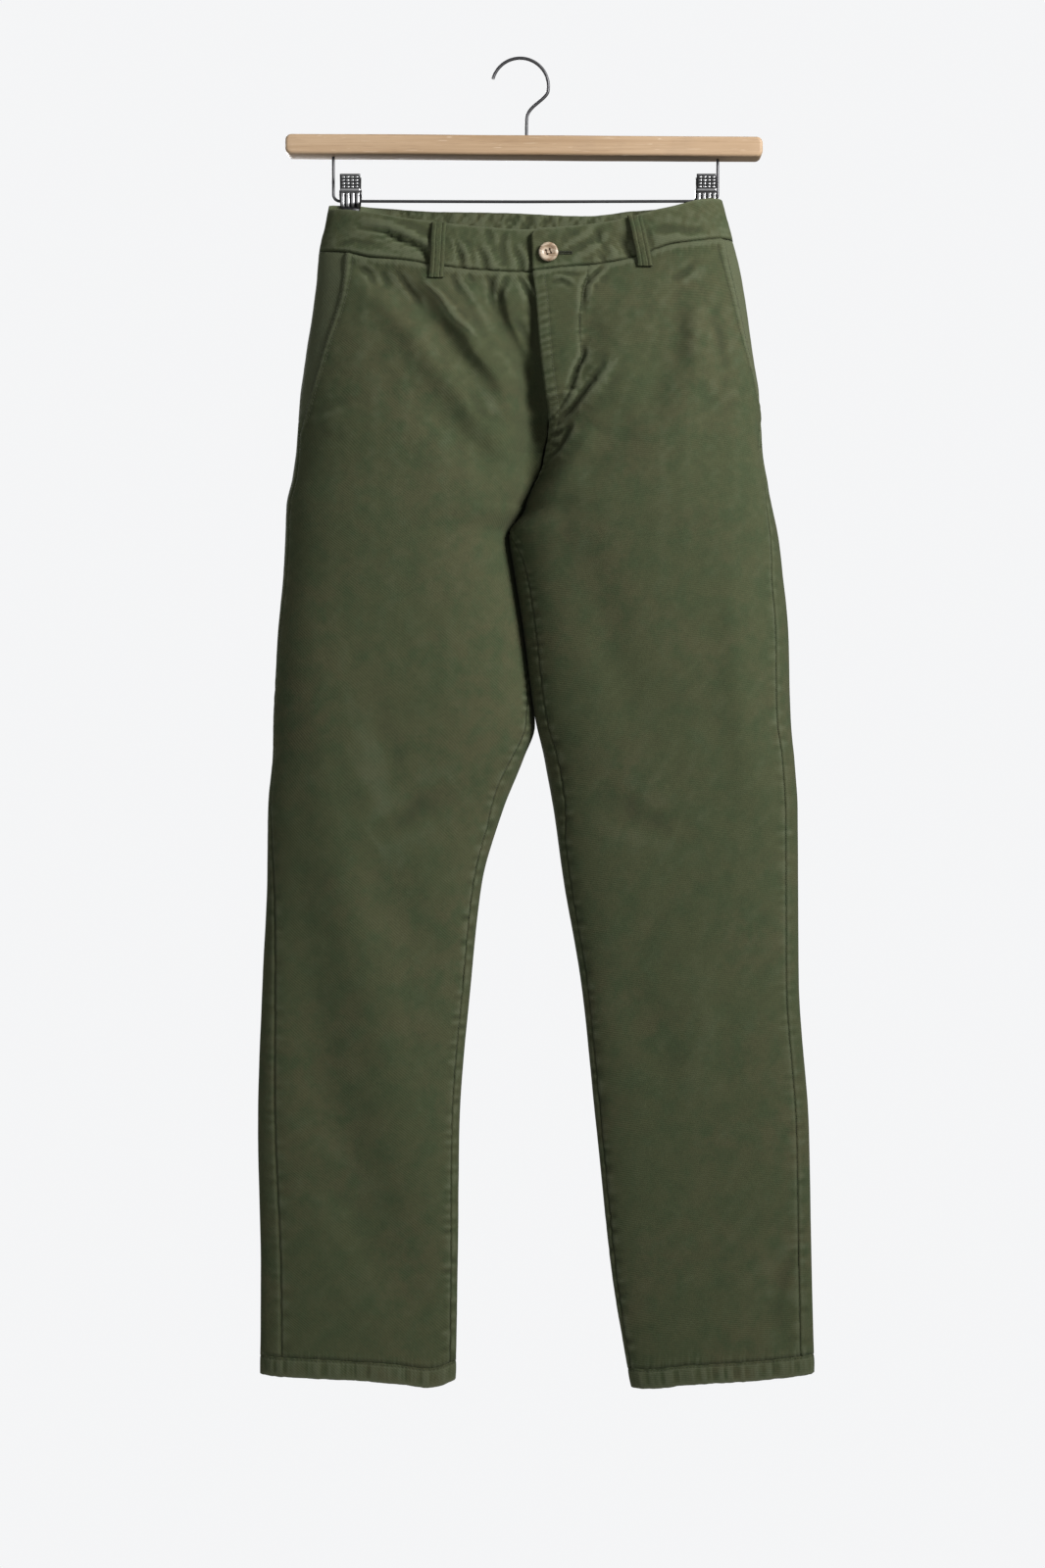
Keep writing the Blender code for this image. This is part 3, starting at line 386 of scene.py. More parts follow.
# across, then the drops of the waistband's top and of its seam
waistFront = [
    (-180, 134.0, 171.5),
    (-156, 136.5, 174.5),
    (-133, 140.5, 180.0),
    (-107, 145.3, 182.7),
    (-80, 149.0, 187.0),
    (-50, 152.5, 191.0),
    (0, 156.0, 193.5),
    (29, 154.7, 190.5),
    (65, 151.3, 187.0),
    (98, 144.5, 180.5),
    (115, 139.5, 174.0),
    (130, 136.0, 169.0),
    (155, 128.5, 165.0),
    (170, 126.0, 162.5),
    (185, 125.5, 161.5),
]
waistBack = [
    (-180, 134.0, 171.5),
    (-168, 129.0, 170.5),
    (-127, 129.5, 170.0),
    (-80, 132.0, 171.0),
    (-20, 133.0, 172.0),
    (57, 136.0, 174.0),
    (98, 131.5, 170.0),
    (135, 129.5, 166.0),
    (165, 128.5, 163.0),
    (185, 125.5, 161.5),
]
# part of the way across a leg, then the drops of the right and the left hem
hemEdge = [(0.0, 1166, 1173), (0.13, 1171, 1172), (0.3, 1167, 1168), (0.6, 1163, 1165), (1.0, 1161, 1160)]
# the main folds: height, half width, path, and how much steeper one flank is
frontCreases = [
    (-6.5, 14, [(-119, 194), (-106, 211), (-86, 238), (-68, 256), (-51, 278), (-36, 300), (-26, 318)]),
    (-4, 11, [(-153, 188), (-128, 200), (-113, 211), (-92, 226)]),
    (6, 15, [(-151, 200), (-116, 221), (-92, 250), (-71, 286), (-50, 314), (-28, 340), (-8, 362)]),
    (-6, 19, [(-82, 280), (-62, 327), (-43, 345), (-13, 385)]),
    (5.5, 10, [(-88, 202), (-77, 218), (-62, 236), (-49, 252), (-35, 272), (-22, 288), (-11, 306)], 0.3),
    (-6, 11, [(-31, 200), (-26, 226), (-18, 252), (-6, 276)]),
    (4, 7, [(-21, 198), (-17, 214), (-13, 229), (-8, 244), (0, 258), (5, 270)], 0.3),
    (-4.5, 20, [(138, 196), (132, 257), (121, 281), (108, 314), (84, 335), (48, 366)]),
    (-3.5, 17, [(178, 226), (163, 323), (160, 384)]),
    (5, 15, [(150, 217), (151, 300)]),
    (-5, 11, [(61, 238), (51, 272), (40, 300), (32, 322)]),
    (6, 14, [(62, 330), (38, 362), (22, 385)]),
    (5, 30, [(-188, 462), (-175, 598), (-161, 699), (-137, 801), (-114, 890), (-87, 985), (-66, 1040)]),
    (-4.5, 26, [(-209, 699), (-188, 815), (-175, 903), (-148, 985), (-107, 1073), (-87, 1134)]),
    (-2.5, 24, [(-140, 700), (-93, 776), (-58, 816)]),
    (-3.5, 22, [(36, 396), (63, 475), (84, 540), (108, 600)]),
    (4, 16, [(185, 441), (192, 555), (199, 665)]),
    (-2.5, 24, [(122, 730), (94, 815), (122, 910)]),
    (-4, 20, [(239, 1025), (219, 1093), (202, 1130)]),
]
backCreases = [
    (-7, 14, [(-153, 110), (-153, 176)]),
    (-7, 14, [(161, 110), (161, 172)]),
    (-3.4, 16, [(-22, 352), (-60, 318), (-104, 282), (-136, 240)]),
    (-3.4, 17, [(30, 350), (66, 312), (108, 276), (148, 236)]),
    (-2.4, 17, [(-40, 420), (-92, 432), (-150, 424)]),
    (-2.8, 17, [(34, 424), (96, 438), (166, 428)]),
    (-2.2, 20, [(-60, 462), (-108, 478), (-160, 470)]),
    (3, 22, [(-120, 560), (-140, 690), (-128, 800)]),
    (3, 22, [(120, 540), (134, 680), (150, 800)]),
    (-2.2, 24, [(-90, 760), (-130, 800), (-176, 812)]),
    (-2.2, 24, [(92, 780), (136, 812), (190, 820)]),
    (-2.6, 24, [(-110, 900), (-150, 1010), (-190, 1090)]),
    (-2.6, 24, [(130, 900), (168, 1020), (206, 1090)]),
]

roundness = 0.87  # of the leg's sections: 1 is an ellipse, 0 a rectangle
crotch = 395.0
flatRise = 330.0  # above this the fronts meet at a shallow angle
seamStep = 0.21
leanReach, leanTurn = 14.0, 0.22  # below the seat the legs' middles lean, and stand up again lower down
leanStart, leanFade = 370.0, (580.0, 620.0)
wander, wanderScale = 2.2, 19.0  # how far a fold strays from its path
bendWeight = 30.0  # how much closer columns stand where the cloth bends
waistLevel, waistFade = 180.0, 90.0
hemLevel, hemFade, hemHeight = 1165.0, 60.0, 17.5
flySewn = (306.0, 340.0)  # the fold beside the fly dies out here on the left front
mouthEnds = {-1: (326.0, 338.0), 1: (296.0, 344.0)}  # where each pocket's mouth runs into its side seam
clipPlaces = (-152.8, 161.5)


class Path:
    # a line through points of (across, drop)
    def __init__(self, points):
        self.pieces, self.length = [], 0.0
        for (ax, az), (bx, bz) in zip(points, points[1:]):
            length = math.hypot(bx - ax, bz - az)
            self.pieces.append((ax, az, bx - ax, bz - az, length, self.length))
            self.length += length

    def nearest(self, x, drop):
        # how far off the line is, how far along it that is, and on which hand
        best, along, hand = 1e9, 0.0, 1.0
        for ax, az, dx, dz, length, before in self.pieces:
            t = min(max(((x - ax) * dx + (drop - az) * dz) / length**2, 0.0), 1.0)
            offX, offZ = x - ax - dx * t, drop - az - dz * t
            distance = math.hypot(offX, offZ)
            if distance < best:
                best, along, hand = distance, before + t * length, offX * dz - offZ * dx
        return best, along, hand


class Crease(Path):
    # a ridge or a trough along a path; lean makes one flank steeper
    def __init__(self, height, halfWidth, points, lean=0.0):
        super().__init__(points)
        self.height, self.halfWidth, self.lean = height, halfWidth, lean
        reach = 3 * halfWidth
        xs, drops = zip(*points)
        self.box = (min(xs) - reach, max(xs) + reach, min(drops) - reach, max(drops) + reach)

    def at(self, x, drop):
        west, east, high, low = self.box
        if x < west or x > east or drop < high or drop > low:
            return 0.0
        away, along, hand = self.nearest(x, drop)
        uneven = 1 + 0.22 * ripple(along, self.length, 1.6 * self.halfWidth, self.height)
        width = self.halfWidth * (1 + math.copysign(self.lean, hand)) * uneven
        if away > 3 * width:
            return 0.0
        ends = math.sin(math.pi * mix(0.04, 0.96, along / self.length)) ** 0.8
        return self.height * ends * uneven * math.exp(-((away / width) ** 2))


def creases(rows):
    return [Crease(*row) for row in rows]


def reliefOf(folds, x, drop):
    # a fold never runs quite along its path
    aside = wander * ripple(x, drop, wanderScale, 1.7)
    down = wander * ripple(x, drop, wanderScale, 2.9)
    return sum(fold.at(x + aside, drop + down) for fold in folds)


riseAt = dict(zip(("fly", "front", "seat", "lap", "under"), (track(riseSections, n) for n in range(1, 6))))
waistAt = {
    face: {"top": track(rows, 1), "seam": track(rows, 2)}
    for face, rows in ((frontSide, waistFront), (backSide, waistBack))
}
frontFolds, backFolds = creases(frontCreases), creases(backCreases)
flyFold = Crease(-20, 12.5, [(-3, 236), (2, 270), (5, 300), (7.5, 335), (3.5, 368), (-4, 398)])


def faceOf(turn):
    return frontSide if 0 <= turn <= 0.5 or turn > 1 else backSide


class TrouserLeg:
    # a turn goes once round the leg: 0 at its inner edge, 0.5 at its outer edge by way of the front
    def __init__(self, side, sections, seams, mouth, hemColumn):
        self.side = side
        self.innerAt, self.outerAt, self.innerYAt = (track(sections, n) for n in (1, 2, 3))
        self.frontAt, self.sideAt, self.backAt = (track(sections, n) for n in (4, 5, 6))
        self.inseamAt, self.outseamAt = track(seams, 1), track(seams, 2)
        self.mouthAt, self.mouthMeets, self.mouthEnd = track(mouth, 1), *mouthEnds[side]
        self.hemAt = track(hemEdge, hemColumn)
        self.over = None  # the leg whose front laps over this one

    def innerX(self, face, drop):
        x = self.innerAt(drop) + self.side * seamStep
        if face == frontSide:
            x += riseAt["fly"](drop)
            if self.over:
                x += riseAt["lap"](drop)
        return x

    def innerDepth(self, face, drop):
        y = self.innerYAt(drop)
        if face == backSide:
            return y + riseAt["seat"](drop)
        if self.over is None or drop > crotch:
            return y - riseAt["front"](drop)
        return self.over.atX(self.innerX(face, drop), frontSide, drop, False).y + riseAt["under"](drop)

    def span(self, face, drop):
        inner, outer = self.innerX(face, drop), self.outerAt(drop)
        return (inner + outer) / 2, (outer - inner) / 2

    def turnAtX(self, x, face, drop):
        middle, half = self.span(face, drop)
        across = min(max((middle - x) / half, -1.0), 1.0)
        turn = math.acos(math.copysign(abs(across) ** (1 / roundness), across)) / math.tau
        return turn if face == frontSide else 1 - turn

    def point(self, turn, drop, creased=True):
        angle = math.tau * turn
        cosine, sine = math.cos(angle), math.sin(angle)
        face = faceOf(turn)
        middle, half = self.span(face, drop)
        across = math.copysign(abs(cosine) ** roundness, cosine)
        x = middle - half * across
        fullness = abs(sine) ** roundness
        edgeY = self.sideAt(drop)
        if cosine > 0:
            edgeY = self.innerDepth(face, drop)
            fullness = mix(1 - across**2, fullness, ease(flatRise, crotch, drop))
        y = mix(edgeY, self.frontAt(drop) if face == frontSide else self.backAt(drop), fullness)
        if creased:
            relief = reliefOf(frontFolds if face == frontSide else backFolds, x, drop)
            if face == frontSide:
                relief += (1.0 if self.over else ease(*flySewn, drop)) * flyFold.at(x, drop)
            fading = math.sqrt(abs(sine))
            if cosine > 0:
                fading = mix(1.0, fading, ease(flatRise, crotch, drop))
            y += face * relief * fading
        lean = leanTurn * ease(leanStart, crotch, drop) * (1 - ease(*leanFade, drop))
        x += lean * leanReach * math.tanh((y - self.innerYAt(crotch)) / leanReach)
        return Vector((x, y, -drop))

    def atX(self, x, face, drop, creased=True):
        return self.point(self.turnAtX(x, face, drop), drop, creased)

    def outward(self, turn, drop):
        before, after = turn - 0.004, turn + 0.004
        if drop < crotch:
            before, after = max(before, 0.0), min(after, 1.0)
        along = self.point(after, drop) - self.point(before, drop)
        down = self.point(turn, drop + 1) - self.point(turn, drop - 1)
        return along.cross(down).normalized() * -self.side

    def raised(self, turn, drop, height):
        return self.point(turn, drop) + self.outward(turn, drop) * height

    def edgeTurn(self, edge, inset, drop):
        # a negative inset lies on the back face
        face = frontSide if inset >= 0 else backSide
        if edge == "outer":
            return self.turnAtX(self.outerAt(drop) - self.side * abs(inset), face, drop)
        middle, half = self.span(face, drop)
        turn = self.turnAtX(middle - half + self.side * abs(inset), face, drop)
        return turn if inset >= 0 else turn - 1

    def innerTurn(self, drop):
        return self.edgeTurn("inner", self.inseamAt(drop) if drop > crotch else 0.0, drop)

    def seamTurn(self, drop):
        return self.edgeTurn("outer", self.outseamAt(drop), drop)

    def mouthTurn(self, drop):
        # the front panel's outer edge: the slanted pocket, and the side seam below it
        seam = self.seamTurn(drop)
        if drop > self.mouthEnd:
            return seam
        mouth = self.edgeTurn("outer", self.mouthAt(drop), drop)
        return mix(mouth, seam, ease(self.mouthMeets, self.mouthEnd, drop))

    def settle(self, turn, drop, rule):
        for _ in range(3):
            drop = rule(self.point(turn, drop, False).x)
        return drop

    def dropOf(self, turn, level):
        # rows slant to follow the waist seam at the top and the hem's edge at the bottom
        fade = 1 - ease(waistLevel, waistLevel + waistFade, level)
        rise = ease(hemLevel - hemHeight - hemFade, hemLevel - hemHeight, level)
        if fade == 0 and rise == 0:
            return level
        seamAt = waistAt[faceOf(turn)]["seam"]
        inner, outer = self.innerAt(level), self.outerAt(level)

        def slanted(x):
            hem = self.hemAt((x - inner) / (outer - inner)) - hemLevel
            return level + (seamAt(x) - waistLevel) * fade + hem * rise

        return self.settle(turn, level, slanted)

    def spread(self, start, end, level, columns, near=(0.0,), far=(0.0,), samples=110):
        # turns that divide the cloth: set stations near both edges, and closer where it bends
        turns = [mix(start, end, step / samples) for step in range(samples + 1)]
        points = [self.point(turn, level) for turn in turns]
        lengths, weights = [0.0], [0.0]
        run = points[1] - points[0]
        for before, after in zip(points, points[1:]):
            turnedBy = run.angle(after - before, 0.0)
            run = after - before
            lengths.append(lengths[-1] + run.length)
            weights.append(weights[-1] + run.length + bendWeight * turnedBy)
        first = lookedUp(near[-1], lengths, weights)
        last = lookedUp(lengths[-1] - far[-1], lengths, weights)
        targets = [lookedUp(station, lengths, weights) for station in near[:-1]]
        targets += [mix(first, last, column / columns) for column in range(columns + 1)]
        targets += [lookedUp(lengths[-1] - station, lengths, weights) for station in far[-2::-1]]
        return [lookedUp(target, weights, turns) for target in targets]


rightLeg = TrouserLeg(-1, rightLegSections, rightSeams, rightMouth, 1)
leftLeg = TrouserLeg(1, leftLegSections, leftSeams, leftMouth, 2)
rightLeg.over = leftLeg
legs = {"right": rightLeg, "left": leftLeg}


class ClothGrid:
    # rows of points on the cloth's outer face, top row first
    def __init__(self, rows, outward, closed=False):
        self.rows, self.outward, self.closed = rows, outward, closed
        self.heights = None  # the fine relief that push() has added
        self.toneShift = {}  # how much paler the cloth has worn at (row, column); below zero, how much painted shade darkens it

    def reach(self):
        # how far along its row each point is
        found = []
        for row in self.rows:
            lengths = [0.0]
            for before, after in zip(row, row[1:]):
                lengths.append(lengths[-1] + (after - before).length)
            found.append(lengths)
        return found

    def around(self, r, c, rowStep=1, columnStep=1):
        row, last = self.rows[r], len(self.rows) - 1
        end = len(row) - 1
        above, below = self.rows[max(r - rowStep, 0)][c], self.rows[min(r + rowStep, last)][c]
        if self.closed:
            return row[(c - columnStep) % end], row[(c + columnStep) % end], above, below
        return row[max(c - columnStep, 0)], row[min(c + columnStep, end)], above, below

    def normals(self):
        found = []
        for r, row in enumerate(self.rows):
            line = []
            for c in range(len(row)):
                west, east, above, below = self.around(r, c)
                line.append((east - west).cross(below - above).normalized() * self.outward)
            found.append(line)
        return found

    def push(self, rule):
        # every point moves out by rule(row, column, point)
        self.heights = [[rule(r, c, place) for c, place in enumerate(row)] for r, row in enumerate(self.rows)]
        for row, line, heights in zip(self.rows, self.normals(), self.heights):
            for c, (normal, height) in enumerate(zip(line, heights)):
                row[c] = row[c] + normal * height

    def wearAndShadeTones(self):
        # 0 in a small hollow, 1 on a small crest; below the middle the cloth gets painted shade, above it the
        # paler colour of wear
        last, end = len(self.rows) - 1, len(self.rows[0]) - 1
        if self.heights is None:
            ups = self.normals()
        found = []
        for r, row in enumerate(self.rows):
            tones = []
            for c, place in enumerate(row):
                crest = 0.0
                for steps, weight in ((1, 1.6), (3, 0.7)):
                    if self.heights is None:
                        west, east, above, below = self.around(r, c, steps, steps)
                        crest += weight * (2 * place - (west + east + above + below) / 2).dot(ups[r][c])
                    else:
                        line = self.heights[r]
                        near = line[max(c - steps, 0)] + line[min(c + steps, end)]
                        near += self.heights[max(r - steps, 0)][c] + self.heights[min(r + steps, last)][c]
                        crest += weight * (2 * line[c] - near / 2)
                tones.append(min(max(0.5 + 0.55 * crest + self.toneShift.get((r, c), 0.0), 0.0), 1.0))
            found.append(tones)
        return found

    def line(self, edge, inset, top=-1e9, bottom=1e9):
        # a route on the cloth that keeps its distance from one edge
        route = []
        for row, lengths in zip(self.rows, self.reach()):
            places = [inset, lengths[-1] - inset][edge == "end"]
            c = min(max(bisect_right(lengths, places) - 1, 0), len(row) - 2)
            t = (places - lengths[c]) / max(lengths[c + 1] - lengths[c], 1e-9)
            place = row[c].lerp(row[c + 1], t)
            if top <= -place.z <= bottom:
                route.append(place)
        return route


def bump(distance, width):
    return math.exp(-((distance / width) ** 2)) if abs(distance) < 3 * width else 0.0


def finishPiece(name, mesh, look, replaced):
    piece = bpy.data.objects.new(name, mesh)
    bpy.context.scene.collection.objects.link(piece)
    mesh.materials.append(look)
    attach(piece, "root")
    if replaced:
        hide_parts(*replaced)
    return piece


def addShape(name, shape, look, replaced=(), matrix=None, sharp=None):
    # a bmesh becomes a piece; edges that turn by more than sharp degrees stay crisp
    if matrix is not None:
        bmesh.ops.transform(shape, verts=shape.verts, matrix=matrix)
    mesh = bpy.data.meshes.new(name)
    shape.to_mesh(mesh)
    shape.free()
    mesh.shade_smooth()
    if sharp is not None:
        mesh.set_sharp_from_angle(angle=math.radians(sharp))
    return finishPiece(name, mesh, look, replaced)


def sewCloth(name, grid, wall, look, replaced=()):
    # the sheet through the grid, with the way of the cut cloth in its UV map
    across, down = len(grid.rows[0]) - 1, len(grid.rows) - 1
    reach, tones = grid.reach(), grid.wearAndShadeTones()
    middle = across // 2
    fallen = [0.0]
    for above, below in zip(grid.rows, grid.rows[1:]):
        fallen.append(fallen[-1] + (below[middle] - above[middle]).length)
    sheet = bmesh.new()
    rowOf, columnOf = sheet.verts.layers.int.new("row"), sheet.verts.layers.int.new("column")
    # a tone that is high for the paler colour of wear on crests and low for painted shade in hollows
    crestToneOf = sheet.verts.layers.float.new("worn")
    bmesh.ops.create_grid(sheet, x_segments=across, y_segments=down, size=0.5)
    for vert in sheet.verts:
        r, c = round((0.5 - vert.co.y) * down), round((vert.co.x + 0.5) * across)
        vert[rowOf], vert[columnOf], vert[crestToneOf] = r, c, tones[r][c]
        vert.co = grid.rows[r][c] * mm
    cut = sheet.loops.layers.uv.new("cut")
    if grid.closed:
        bmesh.ops.remove_doubles(sheet, verts=sheet.verts, dist=0.00001)
    for face in sheet.faces:
        places = [loop.vert[columnOf] for loop in face.loops]
        wraps = max(places) - min(places) > 1
        for loop, c in zip(face.loops, places):
            r, c = loop.vert[rowOf], across if wraps and c == 0 else c
            loop[cut].uv = ((reach[r][c] - reach[r][middle]) * mm, -fallen[r] * mm)
    if grid.outward > 0:
        bmesh.ops.reverse_faces(sheet, faces=sheet.faces)
    piece = addShape(name, sheet, look, replaced)
    thick = piece.modifiers.new("Wall", "SOLIDIFY")
    thick.thickness, thick.offset, thick.use_even_offset = wall * mm, -1, False
    thick.use_quality_normals = True
    return piece


def cutSize(grid):
    # the size that the sheet was cut to, in metres
    area = 0.0
    for above, below in zip(grid.rows, grid.rows[1:]):
        for a, b, c, d in zip(above, above[1:], below, below[1:]):
            area += ((b - a).cross(c - a).length + (d - b).cross(d - c).length) / 2
    width = max(lengths[-1] for lengths in grid.reach())
    length = max(
        sum((below[c] - above[c]).length for above, below in zip(grid.rows, grid.rows[1:]))
        for c in range(0, len(grid.rows[0]), 4)
    )
    return width * mm, length * mm, area * mm**2


def declareCloth(piece, grid, restsOn):
    width, length, area = cutSize(grid)
    print(f"{piece.name}: cut {width * 1000:.0f} x {length * 1000:.0f} mm, {area * 1e4:.0f} cm2")
    min(area, width * length)


seamStitch = {"pitch": 3.2, "length": 2.5, "thickness": 0.5}
tackStitch = {"pitch": 0.75, "length": 1.3, "thickness": 0.45}
holeStitch = {"pitch": 0.62, "length": 1.56, "thickness": 0.6}


def addStitch(thread, middle, along, stitch):
    # a bead of thread that is drawn out along the seam
    turned = along.to_track_quat("X", "Z").to_matrix().to_4x4()
    made = bmesh.ops.create_icosphere(thread, subdivisions=1, radius=stitch["thickness"] / 2 * mm)
    bmesh.ops.scale(thread, verts=made["verts"], vec=(stitch["length"] / stitch["thickness"], 1, 1))
    bmesh.ops.transform(thread, verts=made["verts"], matrix=Matrix.Translation(middle * mm) @ turned)


def addStitches(name, routes, look, stitch):
    # short dashes along routes on the cloth; each route comes with the thread's lift off it
    thread = bmesh.new()
    for route, lift in routes:
        travelled, due = 0.0, 1.0
        for before, after in zip(route, route[1:]):
            step = after - before
            while due <= travelled + step.length:
                place = before + step * ((due - travelled) / step.length)
                addStitch(thread, place + lift, step, stitch)
                due += stitch["pitch"]
            travelled += step.length
    addShape(name, thread, look)


print("finishes")

twillLook = {
    "dye": (0.0600, 0.0690, 0.0325),
    "brownDye": (0.0690, 0.0710, 0.0352),
    "greenDye": (0.0495, 0.0645, 0.0300),
    # the paler colour of wear on the cloth's crests and edges
    "worn": (0.120, 0.132, 0.080),
    # painted shade in the cloth's small hollows, beside the fly and under the waistband
    "paintedHollowShade": (0.030, 0.034, 0.018),
    "ribPitch": 0.0019,
    "weft": (260.0, 2600.0, 1.0),
    "warp": (2300.0, 210.0, 1.0),
    "roughness": 0.9,
    "sheen": 0.04,
    "sheenRoughness": 0.6,
    "sheenTint": (0.75, 0.8, 0.68),
    "relief": 0.0004,
}
tapeLook = {
    "tones": ((0.040, 0.047, 0.026), (0.058, 0.066, 0.040)),
    "rowPitch": 0.0009,
    "roughness": 0.8,
}
hornLook = {
    "veins": (60.0, 90.0, 210.0),
    "veinTurn": (0.3, 0.5, 0.4),
    "stops": [
        (0.30, (0.22, 0.14, 0.08)),
        (0.44, (0.40, 0.30, 0.21)),
        (0.56, (0.57, 0.47, 0.355)),
        (0.72, (0.68, 0.60, 0.49)),
    ],
    "roughness": 0.22,
}
woodLook = {
    "grain": (6.0, 120.0, 190.0),
    "bands": (3.0, 30.0, 42.0),
    "pores": (60.0, 900.0, 1400.0),
    "scratches": (45.0, 200.0, 900.0),
    "stops": [(0.34, (0.40, 0.262, 0.148)), (0.52, (0.50, 0.343, 0.21)), (0.68, (0.585, 0.425, 0.278))],
    "poreTone": (0.33, 0.21, 0.12),
    "smudgeTone": (0.36, 0.25, 0.16),
    "scratchTone": (0.80, 0.66, 0.50),
    "roughness": 0.36,
}
steelLook = {
    "brushing": (900.0, 900.0, 60.0),
    "dulled": 0.72,
    # painted shade where the pressing sinks
    "sunk": (0.035, 0.035, 0.037),
    "relief": 0.0003,
}


def twill(name, ribRun, tint=1.0):
    # ribRun is the twill line's direction over the cut piece
    look = Look(name, twillLook["roughness"], sheen=twillLook["sheen"], specular=0.15)
    look.shader.inputs["Sheen Roughness"].default_value = twillLook["sheenRoughness"]
    look.shader.inputs["Sheen Tint"].default_value = (*twillLook["sheenTint"], 1)

    def shade(key):
        return tuple(part * tint for part in twillLook[key])

    cut = look.add("UVMap", {"uv_map": "cut"})
    place = look.objectPlace()
    # high where the cloth shows wear, low where it gets painted shade
    worn = look.add("Attribute", {"attribute_name": "worn"}, None, "Fac")
    patches = look.clouds(place, 14.0, 3.0, Roughness=0.55)
    blotches = look.clouds(place, 55.0, 4.0, Roughness=0.6)
    specks = look.clouds(place, 420.0, 2.0)
    acrossCut = look.add("SeparateXYZ", None, {"Vector": cut}, "X")
    downCut = look.add("SeparateXYZ", None, {"Vector": cut}, "Y")
    sway = look.clouds(cut, 60.0, 1.0)
    turns = math.tau / twillLook["ribPitch"]
    ribs = ((acrossCut * ribRun[0] + downCut * ribRun[1]) * turns + sway * 1.6).sine() * 0.5 + 0.5
    weft = look.streaks(cut, twillLook["weft"], 2.0)
    warp = look.streaks(cut, twillLook["warp"], 2.0)
    browner = look.add("ValToRGB", {"stops": [(0.40, (0, 0, 0)), (0.62, (1, 1, 1))]}, {"Fac": patches})
    greener = look.add("ValToRGB", {"stops": [(0.42, (0, 0, 0)), (0.66, (1, 1, 1))]}, {"Fac": blotches})
    colour = look.blend(browner, shade("dye"), shade("brownDye"))
    colour = look.blend(greener, colour, shade("greenDye"))
    toneShift = look.remap(worn, 0.5, 0.95, 0.0, 0.6)
    # painted shade: the cloth is darkened where it lies in a hollow
    paintedShade = look.remap(worn, 0.5, 0.1, 0.0, 0.5)
    colour = look.blend(toneShift * (blotches * 0.8 + 0.4), colour, shade("worn"))
    colour = look.blend(paintedShade, colour, shade("paintedHollowShade"))
    threads = ribs * 0.24 + weft * 0.55 + warp * 0.45 + specks * 0.5
    grey = look.remap(threads, 0.55, 1.25, 0.82, 1.2)
    tone = look.add("CombineColor", None, {"Red": grey, "Green": grey, "Blue": grey})
    look.set("Base Color", look.blend(1.0, colour, tone, "MULTIPLY"))
    look.bump(ribs * 0.5 + weft * 0.9 + warp * 0.7 + blotches * 1.2, 0.35, twillLook["relief"])
    return look.material


def tapeCloth():
    look = Look("zip tape", tapeLook["roughness"], specular=0.25)
    rows = look.add("SeparateXYZ", None, {"Vector": look.objectPlace()}, "Z")
    weave = (rows * (math.tau / tapeLook["rowPitch"])).sine() * 0.5 + 0.5
    look.set("Base Color", look.blend(weave, *tapeLook["tones"]))
    look.bump(weave, 0.4, 0.0002)
    return look.material


def sewingThread(name, dark, light):
    look = Look(name, 0.7, sheen=0.1, specular=0.3)
    strands = look.clouds(look.objectPlace(), 1200.0, 1.0)
    look.set("Base Color", look.blend(strands, dark, light))
    return look.material


def marbledHorn():
    look = Look("marbled horn", 0.32, specular=0.5)
    swirl = look.streaks(look.objectPlace(), hornLook["veins"], 4.0, hornLook["veinTurn"], Distortion=1.8)
    look.set("Base Color", look.add("ValToRGB", {"stops": hornLook["stops"]}, {"Fac": swirl}))
    look.set("Roughness", swirl * 0.2 + hornLook["roughness"])
    look.bump(swirl, 0.05, 0.0002)
    return look.material


def paleWood():
    look = Look("pale wood", 0.5, specular=0.4)
    place = look.objectPlace()
    grain = look.streaks(place, woodLook["grain"], 5.0, Distortion=0.6)
    bands = look.streaks(place, woodLook["bands"], 2.0, Distortion=1.0)
    flecks = look.streaks(place, woodLook["pores"], 1.0)
    marks = look.streaks(place, woodLook["scratches"], 1.0, (0, 0.5, 0), Distortion=0.8)
    clouds = look.clouds(place, 26.0, 3.0)
    dark = look.remap(flecks, 0.62, 0.72, 0.0, 0.35)
    scratches = look.remap(marks, 0.69, 0.75, 0.0, 0.5)
    smudges = look.remap(clouds, 0.52, 0.78, 0.0, 0.5)
    colour = look.add("ValToRGB", {"stops": woodLook["stops"]}, {"Fac": grain * 0.6 + bands * 0.4})
    colour = look.blend(smudges, colour, woodLook["smudgeTone"])
    colour = look.blend(scratches, colour, woodLook["scratchTone"])
    look.set("Base Color", look.blend(dark, colour, woodLook["poreTone"]))
    look.set("Roughness", grain * 0.25 + woodLook["roughness"])
    look.bump(grain * 0.7 + flecks * 0.6, 0.12, 0.0003)
    return look.material


def brightSteel(name, tone, roughness, pressed=False):
    look = Look(name, roughness, metallic=1.0)
    place = look.objectPlace()
    cloud = look.clouds(place, 90.0, 3.0)
    fine = look.streaks(place, steelLook["brushing"], 1.0)
    colour = look.blend(cloud, tuple(part * steelLook["dulled"] for part in tone), tone)
    if pressed:
        # painted highlight where the pressing stands up, painted shade where it sinks
        polish = look.add("Attribute", {"attribute_name": "polish"}, None, "Fac")
        colour = look.blend(polish, steelLook["sunk"], colour)
    look.set("Base Color", colour)
    look.set("Roughness", cloud * 0.14 + fine * 0.08 + (roughness - 0.1))
    look.bump(cloud * 0.5 + fine * 0.2, 0.02, steelLook["relief"])
    return look.material


